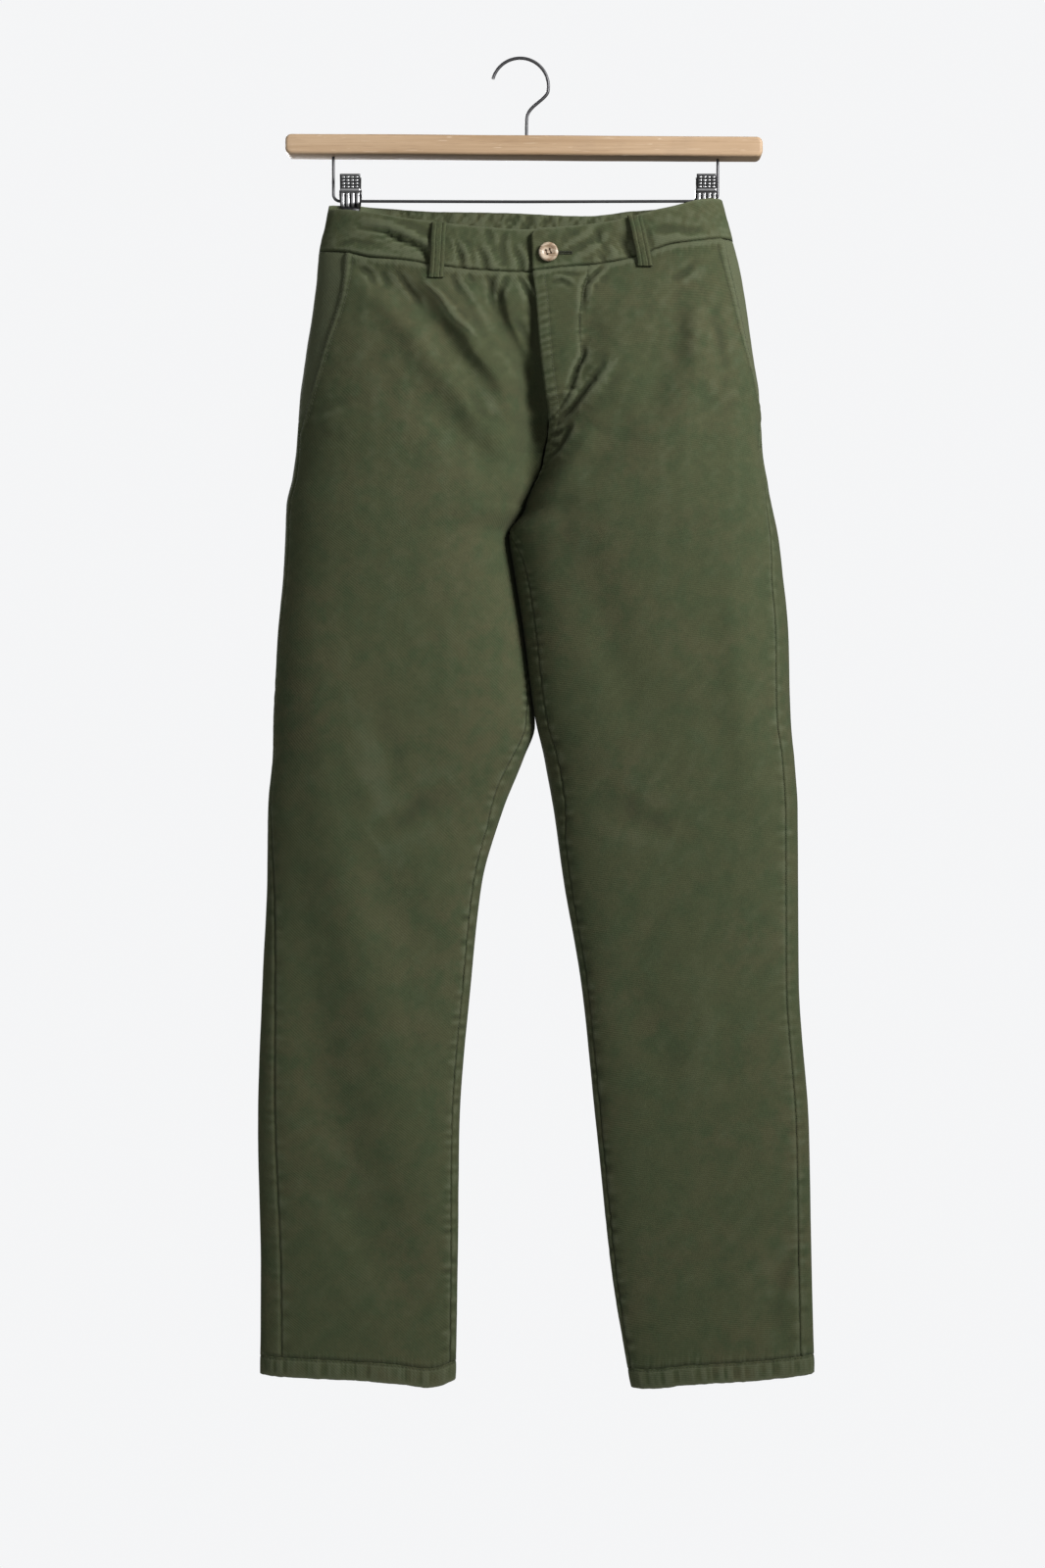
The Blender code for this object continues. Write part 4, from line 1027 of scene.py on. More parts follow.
looks = {
    "twill_right": twill("olive twill", (-0.62, 0.78)),
    "twill_left": twill("crosswise twill", (0.12, 0.99)),
    "band": twill("waistband twill", (-0.5, 0.87), 1.05),
    "tape": tapeCloth(),
    "thread": sewingThread("sewing thread", (0.046, 0.051, 0.028), (0.082, 0.089, 0.052)),
    "darkThread": sewingThread("tack thread", (0.018, 0.020, 0.011), (0.034, 0.037, 0.021)),
    "brownThread": sewingThread("button thread", (0.060, 0.036, 0.020), (0.120, 0.078, 0.045)),
    "horn": marbledHorn(),
    "wood": paleWood(),
    "wire": brightSteel("bright wire", (0.125, 0.124, 0.130), 0.46),
    "plate": brightSteel("bright plate", (0.74, 0.74, 0.75), 0.36, True),
}


print("fronts and backs")

panels = {
    "wall": 1.2,
    "rows": {  # from one drop to another, a row at each step
        "front": [(178.6, 430, 1.45), (430, 560, 3.0)],
        "back": [(178.6, 560, 3.0)],
    },
    "legRows": 4.4,
    "edges": (0.0, 0.8, 1.7, 2.7, 3.8, 5.2, 7.0, 9.0),
    "middleColumns": {"front_right": 52, "front_left": 54, "back_right": 56, "back_left": 56},
    "gathered": {"front_right": (70, 1.7), "front_left": (58, 1.25)},  # finer columns beside the fly
    "crumple": (0.62, 0.22),  # at the hips and down the legs
    "seamRoll": 0.9,
    "inseamPucker": 0.8,
    "outseamPucker": 0.35,
    "flyPucker": 0.7,
    "flyStitch": 10.5,  # from the fly's edge
    "mouthStitches": (1.8, 8.0),  # from the pocket's mouth
    "mouthGape": 1.3,
    "placketRise": 0.6,
}


# finer folds over the main ones, in the same form
fineFolds = {
    "front_right": creases([
        (1.5, 3.4, [(-86, 202), (-76, 214), (-66, 226), (-55, 239), (-44, 251)], 0.4),
        (-1.5, 3.0, [(-111, 192), (-104, 203), (-97, 214), (-90, 226)]),
        (-1.1, 2.2, [(-62, 195), (-60, 204), (-57, 212)]),
        (0.9, 2.6, [(-56, 195), (-54, 204), (-49, 213), (-43, 222)]),
        (-0.8, 2.4, [(-48, 195), (-45, 203)]),
        (-1.5, 2.6, [(-31, 195), (-29, 206), (-29, 217), (-26, 228)], 0.2),
        (-1.7, 2.6, [(-13, 196), (-17, 204), (-22, 214), (-22, 225)], 0.2),
        (1.1, 3.0, [(-19, 196), (-24, 206), (-26, 214)]),
        (-1.8, 2.6, [(-4, 197), (0, 208), (6, 217), (10, 228)], -0.3),
        (1.4, 3.2, [(1, 197), (6, 206), (11, 215)]),
        (1.2, 5, [(-48, 207), (-38, 224), (-30, 242)]),
        (-2.2, 4.5, [(4, 196), (6, 214), (9, 240), (12, 262), (15, 290)]),
        (-1.0, 6, [(-44, 228), (-36, 248), (-22, 268)]),
        (-1.2, 4.5, [(-8, 232), (0, 246), (8, 258)]),
        (1.0, 5, [(-26, 262), (-14, 276), (-6, 290)]),
        (1.0, 3.6, [(-149, 185), (-137, 187), (-128, 193), (-124, 202)]),
        (-1.1, 3.2, [(-144, 190), (-135, 195), (-130, 204)]),
        (-0.9, 4, [(-133, 187), (-124, 196), (-117, 207)]),
        (-0.6, 6, [(-190, 316), (-174, 311), (-156, 310), (-138, 305)]),
        (0.5, 6, [(-188, 325), (-171, 319), (-150, 316)]),
        (-0.5, 6, [(-190, 341), (-171, 338), (-153, 339)]),
        (-0.5, 8, [(-52, 292), (-38, 310), (-24, 330)]),
        (0.6, 8, [(-44, 290), (-30, 306), (-16, 326)]),
        (-1.3, 14, [(-60, 640), (-92, 662), (-130, 690)]),
        (1.2, 18, [(-150, 560), (-128, 640), (-110, 720)]),
        (-1.2, 16, [(-190, 960), (-150, 1010), (-120, 1080)]),
    ]),
    "front_left": creases([
        (-1.8, 2.6, [(70, 189), (63, 195), (55, 200), (51, 207), (51, 220), (51, 232)], 0.2),
        (1.3, 3.2, [(74, 193), (66, 199), (59, 206), (57, 218)], 0.2),
        (1.1, 2.6, [(24, 200), (33, 199), (42, 203), (46, 206)]),
        (-1.1, 2.2, [(24, 204), (33, 203.5), (41, 207)]),
        (-1.0, 2.2, [(26, 196), (38, 197), (50, 196)]),
        (-0.9, 8, [(56, 226), (57, 238), (60, 248)]),
        (-1.8, 2.3, [(53, 258), (51, 269), (43, 285), (38, 297)]),
        (2.0, 4.5, [(58, 260), (55, 271), (48, 287), (42, 297)], 0.35),
        (-2.2, 2.8, [(68, 276), (57, 292), (47.7, 304), (39, 315), (29, 322.4), (21, 324.5)]),
        (2.5, 5.5, [(75, 278), (64, 293), (54, 306), (45, 317), (36, 326)], 0.35),
        (1.4, 3.2, [(49, 290), (43, 301), (33, 314)]),
        (-0.9, 1.9, [(35, 297), (44, 296), (50, 298)]),
        (1.2, 2.0, [(33, 300), (42, 299.5)]),
        (-1.9, 2.8, [(41, 327), (37, 338), (30, 347), (22, 354)]),
        (2.2, 4.6, [(47, 324), (44, 334), (38, 344), (30, 353), (24, 360)], 0.35),
        (-1.4, 1.8, [(23.5, 334.8), (29, 334), (35, 331.5)]),
        (1.3, 1.9, [(23, 330), (31, 329), (37, 326.5)]),
        (-1.3, 1.6, [(24, 343.5), (31, 341.7)]),
        (1.1, 1.8, [(23, 339), (33, 337)]),
        (-0.9, 6, [(64, 262), (68, 270), (66, 280)]),
        (-0.6, 9, [(142, 219), (136, 232), (134, 254)]),
        (1.0, 8, [(154, 222), (150, 250), (143, 274)]),
        (-0.9, 7, [(168, 222), (170, 253), (177, 280)]),
        (0.9, 6, [(160, 190), (148, 199), (136, 203)]),
        (-1.0, 5, [(150, 190), (142, 195), (128, 197)]),
        (0.6, 7, [(159, 292), (174, 301), (192, 304)]),
        (-1.2, 16, [(64, 640), (94, 664), (134, 680)]),
        (1.2, 18, [(150, 780), (158, 860), (150, 940)]),
        (-1.2, 10, [(240, 1050), (228, 1080), (226, 1110), (234, 1140)]),
    ]),
    "back_right": creases([
        (-0.9, 6, [(-30, 330), (-66, 306), (-98, 268)]),
        (0.8, 8, [(-50, 356), (-92, 334), (-126, 306)]),
        (-1.0, 7, [(-20, 372), (-50, 380), (-88, 376)]),
        (-0.7, 15, [(-60, 520), (-96, 540), (-130, 544)]),
        (-0.8, 17, [(-60, 690), (-100, 712), (-150, 716)]),
        (0.7, 17, [(-80, 740), (-120, 756), (-166, 752)]),
        (-0.8, 17, [(-200, 880), (-176, 930), (-160, 980)]),
    ]),
    "back_left": creases([
        (-0.8, 7, [(42, 318), (72, 286), (92, 250)]),
        (0.9, 8, [(56, 350), (98, 318), (146, 300)]),
        (-0.9, 8, [(26, 378), (64, 392), (110, 388)]),
        (-0.8, 16, [(60, 540), (100, 552), (140, 546)]),
        (-0.7, 18, [(76, 716), (116, 740), (162, 744)]),
        (0.8, 16, [(90, 768), (130, 786), (184, 776)]),
        (-0.7, 18, [(216, 900), (196, 950), (184, 1000)]),
    ]),
}

# the placket's stitch line: down beside the fly, then round to its foot
flyLine = [(57, 182), (56, 197), (52, 213), (49, 231), (49, 250), (51, 268)]
flyLine += [(46, 287), (38, 304), (29, 317), (21, 323)]
flyPath = Path(flyLine)
flyEnd = 322.0


def stepsOf(spans):
    levels = [spans[0][0]]
    for top, bottom, step in spans:
        rows = max(round((bottom - top) / step * detail), 2)
        levels += [mix(top, bottom, (row + 1) / rows) for row in range(rows)]
    return levels


def crumpled(x, drop, seed):
    # the soft unevenness of washed twill, longer and shallower down the leg than at the hips
    slack = ease(240, 480, drop)
    broad = ripple(x, drop * mix(0.8, 0.5, slack), 34, seed)
    middle = ripple(x, drop * mix(0.9, 0.6, slack), 15, seed + 1)
    fine = ripple(x, drop, 6.5, seed + 2)
    sharp = 1 - 2 * abs(ripple(x + 0.5 * drop, drop * 0.6, 27, seed + 3))
    return mix(*panels["crumple"], slack) * (0.85 * broad + 0.5 * middle + 0.2 * fine + 0.3 * sharp)


def frontWearAndShade(side, leg, x, drop, level, inner, outer):
    # pale where the cloth has worn along the pocket's mouth and the fly's edge, and painted shade beside and
    # under the fly's lap
    wearAndShade = 0.0
    if side == "right" and level < 350:
        # painted shade: darker towards the fly's edge and under its lap, broader below the waistband
        edgeX = leftLeg.innerX(frontSide, drop)
        wearAndShade -= 0.4 * ease(edgeX - 10, edgeX - 2, x)
        wearAndShade -= 0.25 * ease(edgeX - 42, edgeX - 6, x) * ease(196, 236, drop)
    if level < leg.mouthEnd:
        stitched = panels["mouthStitches"][1]
        wearAndShade += 0.30 * bump(outer, 1.8) + 0.16 * ease(stitched + 1, stitched - 2, outer)
    if side == "left" and level < flyEnd:
        wearAndShade += 0.28 * bump(inner, 1.8)
    return wearAndShade


def mouthRelief(drop, level, outer, seed):
    # two stitch lines with puckers between them, at a mouth that gapes a little at its top
    first, second = panels["mouthStitches"]
    height = 0.35 * ripple(drop, 0, 3.6, seed) * bump(outer - 4.5, 4.5) + 0.35 * bump(outer - 4.5, 2.6)
    height -= 0.30 * (bump(outer - first, 0.9) + bump(outer - second, 1.0))
    return height + panels["mouthGape"] * bump(level - 189, 9) * bump(outer, 5)


def placketRelief(x, drop, level, inner, seed):
    # the fly's fold, the stitch line that curves to its foot, and the seam below it
    edge = panels["flyStitch"]
    height = panels["flyPucker"] * ripple(drop + 0.25 * inner, 0, 3.9, seed) * bump(inner - 6, 6.5)
    height += 0.45 * ease(edge + 1.2, edge - 0.4, inner) - 0.3 * bump(inner - edge, 1.1)
    away, along, _ = flyPath.nearest(x, drop)
    height -= 0.75 * bump(away, 1.3)
    height += 0.5 * ripple(along, 0, 3.0, seed + 2) * bump(away, 4)
    height += panels["placketRise"] * ease(flyEnd, flyEnd - 12, drop) * ease(53, 49, x)
    if level > flyEnd:
        puckered = 0.8 * ripple(drop, 0, 3.4, seed + 3) * bump(inner - 3, 5)
        height += puckered * ease(crotch - 8, crotch - 36, drop) - 0.5 * bump(inner, 2.2)
    return height


def panelRelief(word, side, leg, grid, levels, seed):
    # everything on a panel that is finer than its main creases
    reach, folds = grid.reach(), fineFolds[f"{word}_{side}"]
    isFront, hemSeam = word == "front", hemLevel - hemHeight

    def rule(r, c, place):
        x, drop, level = place.x, -place.z, levels[r]
        start, end = reach[r][c], reach[r][-1] - reach[r][c]
        inner, outer = (start, end) if isFront else (end, start)
        height = crumpled(x, drop, seed) * ease(0, 14, min(inner, outer) + 4)
        height += reliefOf(folds, x, drop)
        joined = 1 - bump(level - crotch, 14)
        joined *= 1.0 if isFront or level > crotch else 0.4
        height -= panels["seamRoll"] * (joined * bump(inner, 1.3) + bump(outer, 1.3))
        height -= 2.2 * bump(level - levels[0], 2.0) - 0.4 * bump(level - levels[0] - 5, 3)
        if level > crotch:
            height += panels["inseamPucker"] * ripple(drop, 0, 4.6, seed + 4) * bump(inner - 2, 6)
        elif not isFront:
            height += 0.4 * ripple(drop, 0, 7, seed + 4) * bump(inner - 2, 7)
        if not isFront or level > leg.mouthEnd:
            height += panels["outseamPucker"] * ripple(drop, 0, 7, seed + 5) * bump(outer - 3, 7)
        height += 0.45 * ripple(x, 0, 3.4, seed + 6) * bump(level - waistLevel - 3, 6)
        height += 0.3 * ripple(x, 0, 2.2, seed + 7) * bump(hemSeam - level, 7)
        if isFront and level <= leg.mouthEnd + 4:
            height += mouthRelief(drop, level, outer, seed + 8)
        if isFront and side == "left" and level < 430:
            height += placketRelief(x, drop, level, inner, seed + 9)
        # painted shade along the top row, under the waistband's lower edge
        wearAndShade = -0.4 * bump(level - levels[0], 1.6)
        if isFront:
            wearAndShade += frontWearAndShade(side, leg, x, drop, level, inner, outer)
        if level > hemSeam - 8:
            wearAndShade += 0.10 * bump(level - levels[-1], 4)
        grid.toneShift[r, c] = wearAndShade
        return height

    return rule


def addPanel(node, seed):
    word, side = node.split("_")
    leg, edges = legs[side], panels["edges"]
    levels = stepsOf([*panels["rows"][word], (560, hemLevel - hemHeight, panels["legRows"])])
    columns = round(panels["middleColumns"][node] * detail)
    near = list(edges)
    if node in panels["gathered"]:
        reach, pitch = panels["gathered"][node]
        extra = int((reach - edges[-1]) * detail / pitch)
        near += [edges[-1] + pitch / detail * step for step in range(1, extra)]
    rows = []
    for level in levels:
        start, end = leg.innerTurn(level), leg.mouthTurn(level)
        if word == "back":
            start, end = leg.seamTurn(level), 1 + leg.innerTurn(level)
        turns = leg.spread(start, end, level, columns, near, edges)
        rows.append([leg.point(turn, leg.dropOf(turn, level)) for turn in turns])
    grid = ClothGrid(rows, -leg.side)
    grid.push(panelRelief(word, side, leg, grid, levels, seed))
    piece = sewCloth(f"cloth_{node}", grid, panels["wall"], looks[f"twill_{side}"], (node,))
    declareCloth(piece, grid, (f"waistband_{side}" if word == "front" else "waistband_back",))
    return grid


grids = {}
for number, node in enumerate(fineFolds):
    grids[node] = addPanel(node, number * 20.0 + 3)


print("waistband")

band = {
    "level": 165.0,
    "fold": 1.05,  # radius of the fold along the top, half of the band's thickness
    "layer": 0.75,
    "rows": 26,
    "foldRows": 6,
    "columns": {"right": 150, "left": 130, "back": 320},
    "wrap": -7.0,  # how far the front band reaches round onto the back
    "tabCorner": (9.0, 5.0),
    "gathers": 16,
    "gatherDepth": 2.5,
}
bandFolds = creases([
    (-3.8, 2.1, [(-142, 153), (-119, 158), (-108, 165), (-96, 170), (-88, 175), (-83, 181), (-80, 189)]),
    (3.0, 4.0, [(-138, 150), (-117, 155), (-104, 161), (-93, 166), (-84, 171), (-79, 177), (-76, 186)], 0.3),
    (1.0, 4, [(-152, 176), (-128, 178), (-108, 183)]),
    (-0.9, 3, [(-162, 168), (-147, 165), (-129, 168)]),
    (-1.9, 2.0, [(-60, 168), (-54, 182), (-53, 193)]),
    (1.5, 2.8, [(-56, 167), (-49, 181), (-48, 193)], 0.3),
    (1.1, 2.0, [(-64, 163), (-58, 176)]),
    (-1.9, 2.0, [(-40, 172), (-34, 182), (-32, 194)]),
    (1.4, 2.8, [(-35, 171), (-29, 181), (-27, 194)], 0.3),
    (-1.3, 2.4, [(-32, 156), (-28, 166)]),
    (-1.7, 2.0, [(-8, 173), (-4, 184), (-2, 195)]),
    (1.3, 2.8, [(-3, 171), (1, 184), (3, 195)], 0.3),
    (-1.0, 3.4, [(-16, 158), (-18, 172), (-16, 186)]),
    (1.3, 2.8, [(33, 173), (44, 168), (53, 162), (60, 155)]),
    (-1.6, 2.6, [(37, 177), (48, 174), (58, 167), (66, 159)], 0.2),
    (1.2, 2.8, [(44, 182), (55, 178), (64, 171), (71, 163)]),
    (-1.5, 2.6, [(63, 156), (64, 164), (68, 171)]),
    (-1.4, 2.6, [(67, 179), (69, 184), (71, 190)]),
    (1.0, 2.8, [(74, 168), (78, 177), (78, 187)]),
    (-1.7, 3, [(85, 164), (89, 173), (93, 184)]),
    (-1.1, 5, [(114, 159), (129, 156), (144, 157), (159, 156)]),
    (0.8, 4, [(112, 165), (129, 164), (150, 164)]),
    (-1.0, 3, [(108, 156), (111, 168), (114, 178)]),
])


def bandDrop(x, face, part, tabEdge=None):
    top = waistAt[face]["top"](x)
    corner, fall = band["tabCorner"]
    if tabEdge is not None and x < tabEdge + corner:
        top += fall * (1 - max(x - tabEdge, 0.0) / corner) ** 2
    return mix(top, waistAt[face]["seam"](x), part)


def foldOver(radius, steps):
    # reach and depth, round a fold in the cloth
    angles = [math.pi * step / (steps + 1) for step in range(1, steps + 1)]
    return [(radius * math.sin(angle), radius * math.cos(angle) - radius) for angle in angles]


def foldedBand(leg, turn, face, tabEdge, sink):
    # up the outer face, round the fold along the top, and down the inner face
    column, half = [], band["rows"] // 2
    radius = band["fold"]
    for row in range(half + 1):
        part = 1 - row / half
        drop = leg.settle(turn, band["level"], lambda x: bandDrop(x, face, part, tabEdge))
        column.append((max(drop, 0) if row < half else drop + radius, 0.0, part))
    top = column[-1][0] - radius
    column = [(max(drop, top + radius), out, part) for drop, out, part in column]
    column += [(top + radius - reach, depth, 0.0) for reach, depth in foldOver(radius, band["foldRows"])]
    column += [(drop, -2 * radius, part) for drop, _, part in column[half::-1]]
    points = []
    for drop, out, part in column:
        x = leg.point(turn, drop).x
        points.append(leg.raised(turn, drop, out - sink(x, drop, part)))
    return points


def wornFoldShadedSeam(grid):
    # the dye has worn thin along the fold, and painted shade darkens the seam row
    half = band["rows"] // 2
    for r in range(half - 1, half + band["foldRows"] + 2):
        for c in range(len(grid.rows[0])):
            grid.toneShift[r, c] = 0.3 * bump(r - half - 3.5, 3.2)
            # painted shade along the band's seam row
            grid.toneShift[0, c] = -0.5


def addFrontBand(side, seed):
    leg, level = legs[side], band["level"]
    start, end = leg.edgeTurn("inner", 0.0, level), leg.edgeTurn("outer", band["wrap"], level)
    turns = leg.spread(start, end, level, round(band["columns"][side] * detail))
    tabEdge = leg.atX(-1e3, frontSide, level).x if side == "left" else None

    def sink(x, drop, part):
        depth = -1.15 * reliefOf(bandFolds, x, drop)
        depth -= 0.35 * ripple(x, drop, 11, seed) + 0.2 * ripple(x, drop, 4.5, seed + 1)
        depth -= 0.25 * ripple(x, 0, 2.4, seed + 2) * bump(part - 1, 0.22)
        return depth + 0.5 * bump((part - 1) * 38, 0.8)

    def flat(x, drop, part):
        return 0.0

    made = [foldedBand(leg, turn, faceOf(turn), tabEdge, sink if turn <= 0.5 else flat) for turn in turns]
    grid = ClothGrid([list(row) for row in zip(*made)], leg.side)
    wornFoldShadedSeam(grid)
    piece = sewCloth(f"cloth_waistband_{side}", grid, band["layer"], looks["band"], (f"waistband_{side}",))
    declareCloth(piece, grid, ("waistband_back",))
    return grid


def addBackBand(seed):
    # one piece from side to side, gathered between the clips
    path, level = [], band["level"]
    count = round(band["columns"]["back"] / 2 * detail)
    for leg in (rightLeg, leftLeg):
        turns = leg.spread(leg.edgeTurn("outer", band["wrap"], level), 1.0, level, count)
        path += [(leg, turn) for turn in (turns if leg is rightLeg else turns[-2::-1])]
    west, east = clipPlaces

    def sink(x, drop, part):
        across = (x - west) / (east - west)
        calm = ease(0.06, 0.16, across) * ease(0.06, 0.16, 1 - across)
        phase = 1.3 * math.sin(14 * across) + 1.7 * math.sin(9 * across + 1) + 4.0 * part
        ropes = ripple(x + 26 * part, drop * 0.5, 8.5, seed + 3)
        ropes += 0.6 * ripple(x - 12 * part, drop, 4.2, seed + 4)
        even = math.cos(math.tau * band["gathers"] * across + phase)
        wave = mix(even, min(max(2.4 * ropes, -1), 1), 0.6)
        uneven = 0.8 + 0.5 * ripple(x, drop, 17, seed)
        depth = -band["gatherDepth"] * calm * (0.5 + 0.5 * wave) * uneven
        depth -= calm * (0.35 * ripple(x, drop * 0.4, 3.6, seed + 1) + 0.2 * ripple(x, drop, 8, seed + 2))
        return depth + 0.5 * bump((part - 1) * 38, 1.5)

    made = [foldedBand(leg, turn, backSide, None, sink) for leg, turn in path]
    grid = ClothGrid([list(row) for row in zip(*made)], -1)
    wornFoldShadedSeam(grid)
    for r in range(band["rows"] // 2 + band["foldRows"] + 2, len(grid.rows)):
        for c in range(len(grid.rows[0])):
            grid.toneShift[r, c] = 0.22  # the inner face is paler
    piece = sewCloth("cloth_waistband_back", grid, band["layer"], looks["band"], ("waistband_back",))
    declareCloth(piece, grid, ("clip_plate_front_right", "clip_plate_front_left"))
    return grid


grids["waistband_right"] = addFrontBand("right", 101.0)
grids["waistband_left"] = addFrontBand("left", 111.0)
grids["waistband_back"] = addBackBand(121.0)


print("hems")

hems = {
    "columns": 300,
    "outerRows": 12,
    "foldRows": 5,
    "innerRows": 9,
    "fold": 1.2,
    "layer": 1.0,
    "pucker": 0.95,
    "stitchDown": 1.2,
}


def hemColumn(highest, lowest):
    # down the outer face, round the fold at the foot, and up the inner face
    radius, outer, inner = hems["fold"], hems["outerRows"] - 1, hems["innerRows"] - 1
    column = [(mix(highest, lowest - radius, row / outer), 0.0, row / outer) for row in range(outer + 1)]
    column += [(lowest - radius + reach, depth, 1.0) for reach, depth in foldOver(radius, hems["foldRows"])]
    for row in range(inner + 1):
        part = 1 - row / inner
        column.append((mix(highest + 0.4, lowest - radius, part), -2 * radius, part))
    return column


def addHem(side, seed):
    leg = legs[side]
    top = hemLevel - hemHeight
    turns = leg.spread(0.0, 1.0, top, round(hems["columns"] * detail))
    girth = [0.0]
    points = [leg.point(turn, top) for turn in turns]
    for before, after in zip(points, points[1:]):
        girth.append(girth[-1] + (after - before).length)
    columns = []
    for turn, way in zip(turns, girth):
        # the puckers meet again where the hem closes
        closing = ease(0, 16, min(way, girth[-1] - way))
        wave = closing * ripple(way, 0, 6.5, seed) + 0.5 * closing * ripple(way, 3, 3.1, seed + 1)
        tight = closing * ripple(way, 7, 1.9, seed + 2)
        column = []
        for drop, out, part in hemColumn(leg.dropOf(turn, top), leg.dropOf(turn, hemLevel) + 0.5 * wave):
            stitched = part * hemHeight - hems["stitchDown"]
            height = hems["pucker"] * wave * math.sin(math.pi * min(part * 0.9 + 0.05, 1.0))
            height += 0.3 * math.sin(math.pi * part)
            height += 0.3 * tight * bump(stitched, 3.5) - 0.45 * bump(stitched, 0.9)
            column.append(leg.raised(turn, drop, out + height))
        columns.append(column)
    grid = ClothGrid([list(row) for row in zip(*columns)], -leg.side, closed=True)
    foot = hems["outerRows"] + 1
    for r in range(len(grid.rows)):
        outside = r < hems["outerRows"] + hems["foldRows"]
        for c in range(len(grid.rows[0])):
            grid.toneShift[r, c] = 0.1 * outside + 0.25 * bump(r - foot, 3.5) + 0.12 * bump(r, 1.5)
    piece = sewCloth(f"cloth_hem_{side}", grid, hems["layer"], looks[f"twill_{side}"], (f"hem_{side}",))
    declareCloth(piece, grid, (f"front_{side}", f"back_{side}"))
    return grid


grids["hem_right"] = addHem("right", 131.0)
grids["hem_left"] = addHem("left", 141.0)


print("pockets and fly")

pocket = {
    "wall": 1.0,
    "top": 180.4,
    "bagReach": 62.0,
    "bagColumns": 22,
    "facingColumns": 12,
    "bagDepth": 2.4,
    "gap": 0.45,
    "bulge": 0.8,
    "closing": 7.0,  # the facing runs on below the mouth's end by this
}


def addPocket(side, seed):
    # the facing that shows in the slanted mouth, in one piece with the bag behind the front
    leg, bag, facing = legs[side], pocket["bagColumns"], pocket["facingColumns"]
    end, closed = leg.mouthEnd, leg.mouthEnd + pocket["closing"]
    rows = []
    for level in stepsOf([(pocket["top"], end, 2.4), (end, closed, 3.0)]):
        mouth = leg.mouthTurn(level)
        seam = mouth if level > end else leg.seamTurn(level)
        inside = leg.edgeTurn("outer", leg.mouthAt(min(level, end)) + pocket["bagReach"], level)
        turns = [mix(inside, mouth, step / bag) for step in range(bag)]
        turns += [mix(mouth, seam, step / facing) for step in range(facing + 1)]
        row = []
        for place, turn in enumerate(turns):
            shown = max((place - bag) / facing, 0.0)
            sunk = pocket["bagDepth"] * ease(bag, bag - 8, place)
            inset = (panels["wall"] + pocket["gap"]) * (1 - ease(0, 0.8, shown)) + sunk
            if level > end:
                inset = panels["wall"] + mix(1, 4, ease(end, closed, level)) * pocket["gap"] + sunk
            x = leg.point(turn, level).x
            height = (0.3 * ripple(x, level, 13, seed) + 0.15 * ripple(x, level, 5, seed + 1)) * shown
            height += pocket["bulge"] * shown * (1 - shown) * 2 * ripple(level, 0, 24, seed + 2)
            height -= 0.6 * bump((1 - shown) * facing, 1.2) if shown else 0.0
            row.append(leg.raised(turn, leg.dropOf(turn, level), height - inset))
        rows.append(row)
    grid = ClothGrid(rows, -leg.side)
    piece = sewCloth(f"cloth_pocket_{side}", grid, pocket["wall"], looks[f"twill_{side}"], (f"pocket_{side}",))
    declareCloth(piece, grid, (f"waistband_{side}", f"front_{side}"))


addPocket("right", 151.0)
addPocket("left", 161.0)

flyStrips = {
    "ends": (197.0, 308.0),
    "pitch": 2.4,
    "columns": 16,
    "fly_zip": {"across": (3.0, 22.0), "depth": 1.8, "wall": 1.0, "cornerCut": 0},
    "fly_shield": {"across": (10.0, 40.0), "depth": 3.4, "wall": 1.2, "cornerCut": 9},
}


def addFlyStrip(node, look, restsOn):
    # a strip behind the fly, placed by its distance from the fly's edge
    strip, columns = flyStrips[node], flyStrips["columns"]
    top, bottom = flyStrips["ends"]
    low, high = strip["across"]
    rows = []
    for level in stepsOf([(top, bottom, flyStrips["pitch"])]):
        edge = leftLeg.innerX(frontSide, level)
        reach = high - strip["cornerCut"] * ease(bottom - 26, bottom, level) ** 2
        row = []
        for step in range(columns + 1):
            turn = leftLeg.turnAtX(edge + mix(low, reach, step / columns), frontSide, level)
            row.append(leftLeg.raised(turn, level, 0.2 * ripple(step, level, 9, 171.0) - strip["depth"]))
        rows.append(row)
    grid = ClothGrid(rows, -1)
    piece = sewCloth(f"cloth_{node}", grid, strip["wall"], looks[look], (node,))
    declareCloth(piece, grid, (restsOn,))


addFlyStrip("fly_zip", "tape", "front_left")
addFlyStrip("fly_shield", "twill_left", "front_right")


print("belt loops")

loops = {
    "width": 12.0,
    "thick": 1.8,
    "layer": 0.6,
    "rows": 46,
    "columns": 24,
    "foot": 12.0,
    "stand": 3.4,
    "stitchAt": 2.7,
    "edgeWear": 0.2,
    "places": [  # name, face, and the middle of the top end and of the foot
        ("front_right", frontSide, -73.5, -76.0),
        ("front_left", frontSide, 97.0, 106.0),
        ("back_right", backSide, -112.0, -112.0),
        ("back_centre", backSide, 3.0, 3.0),
        ("back_left", backSide, 118.0, 118.0),
    ],
}
loopRoutes, loopTacks = [], []


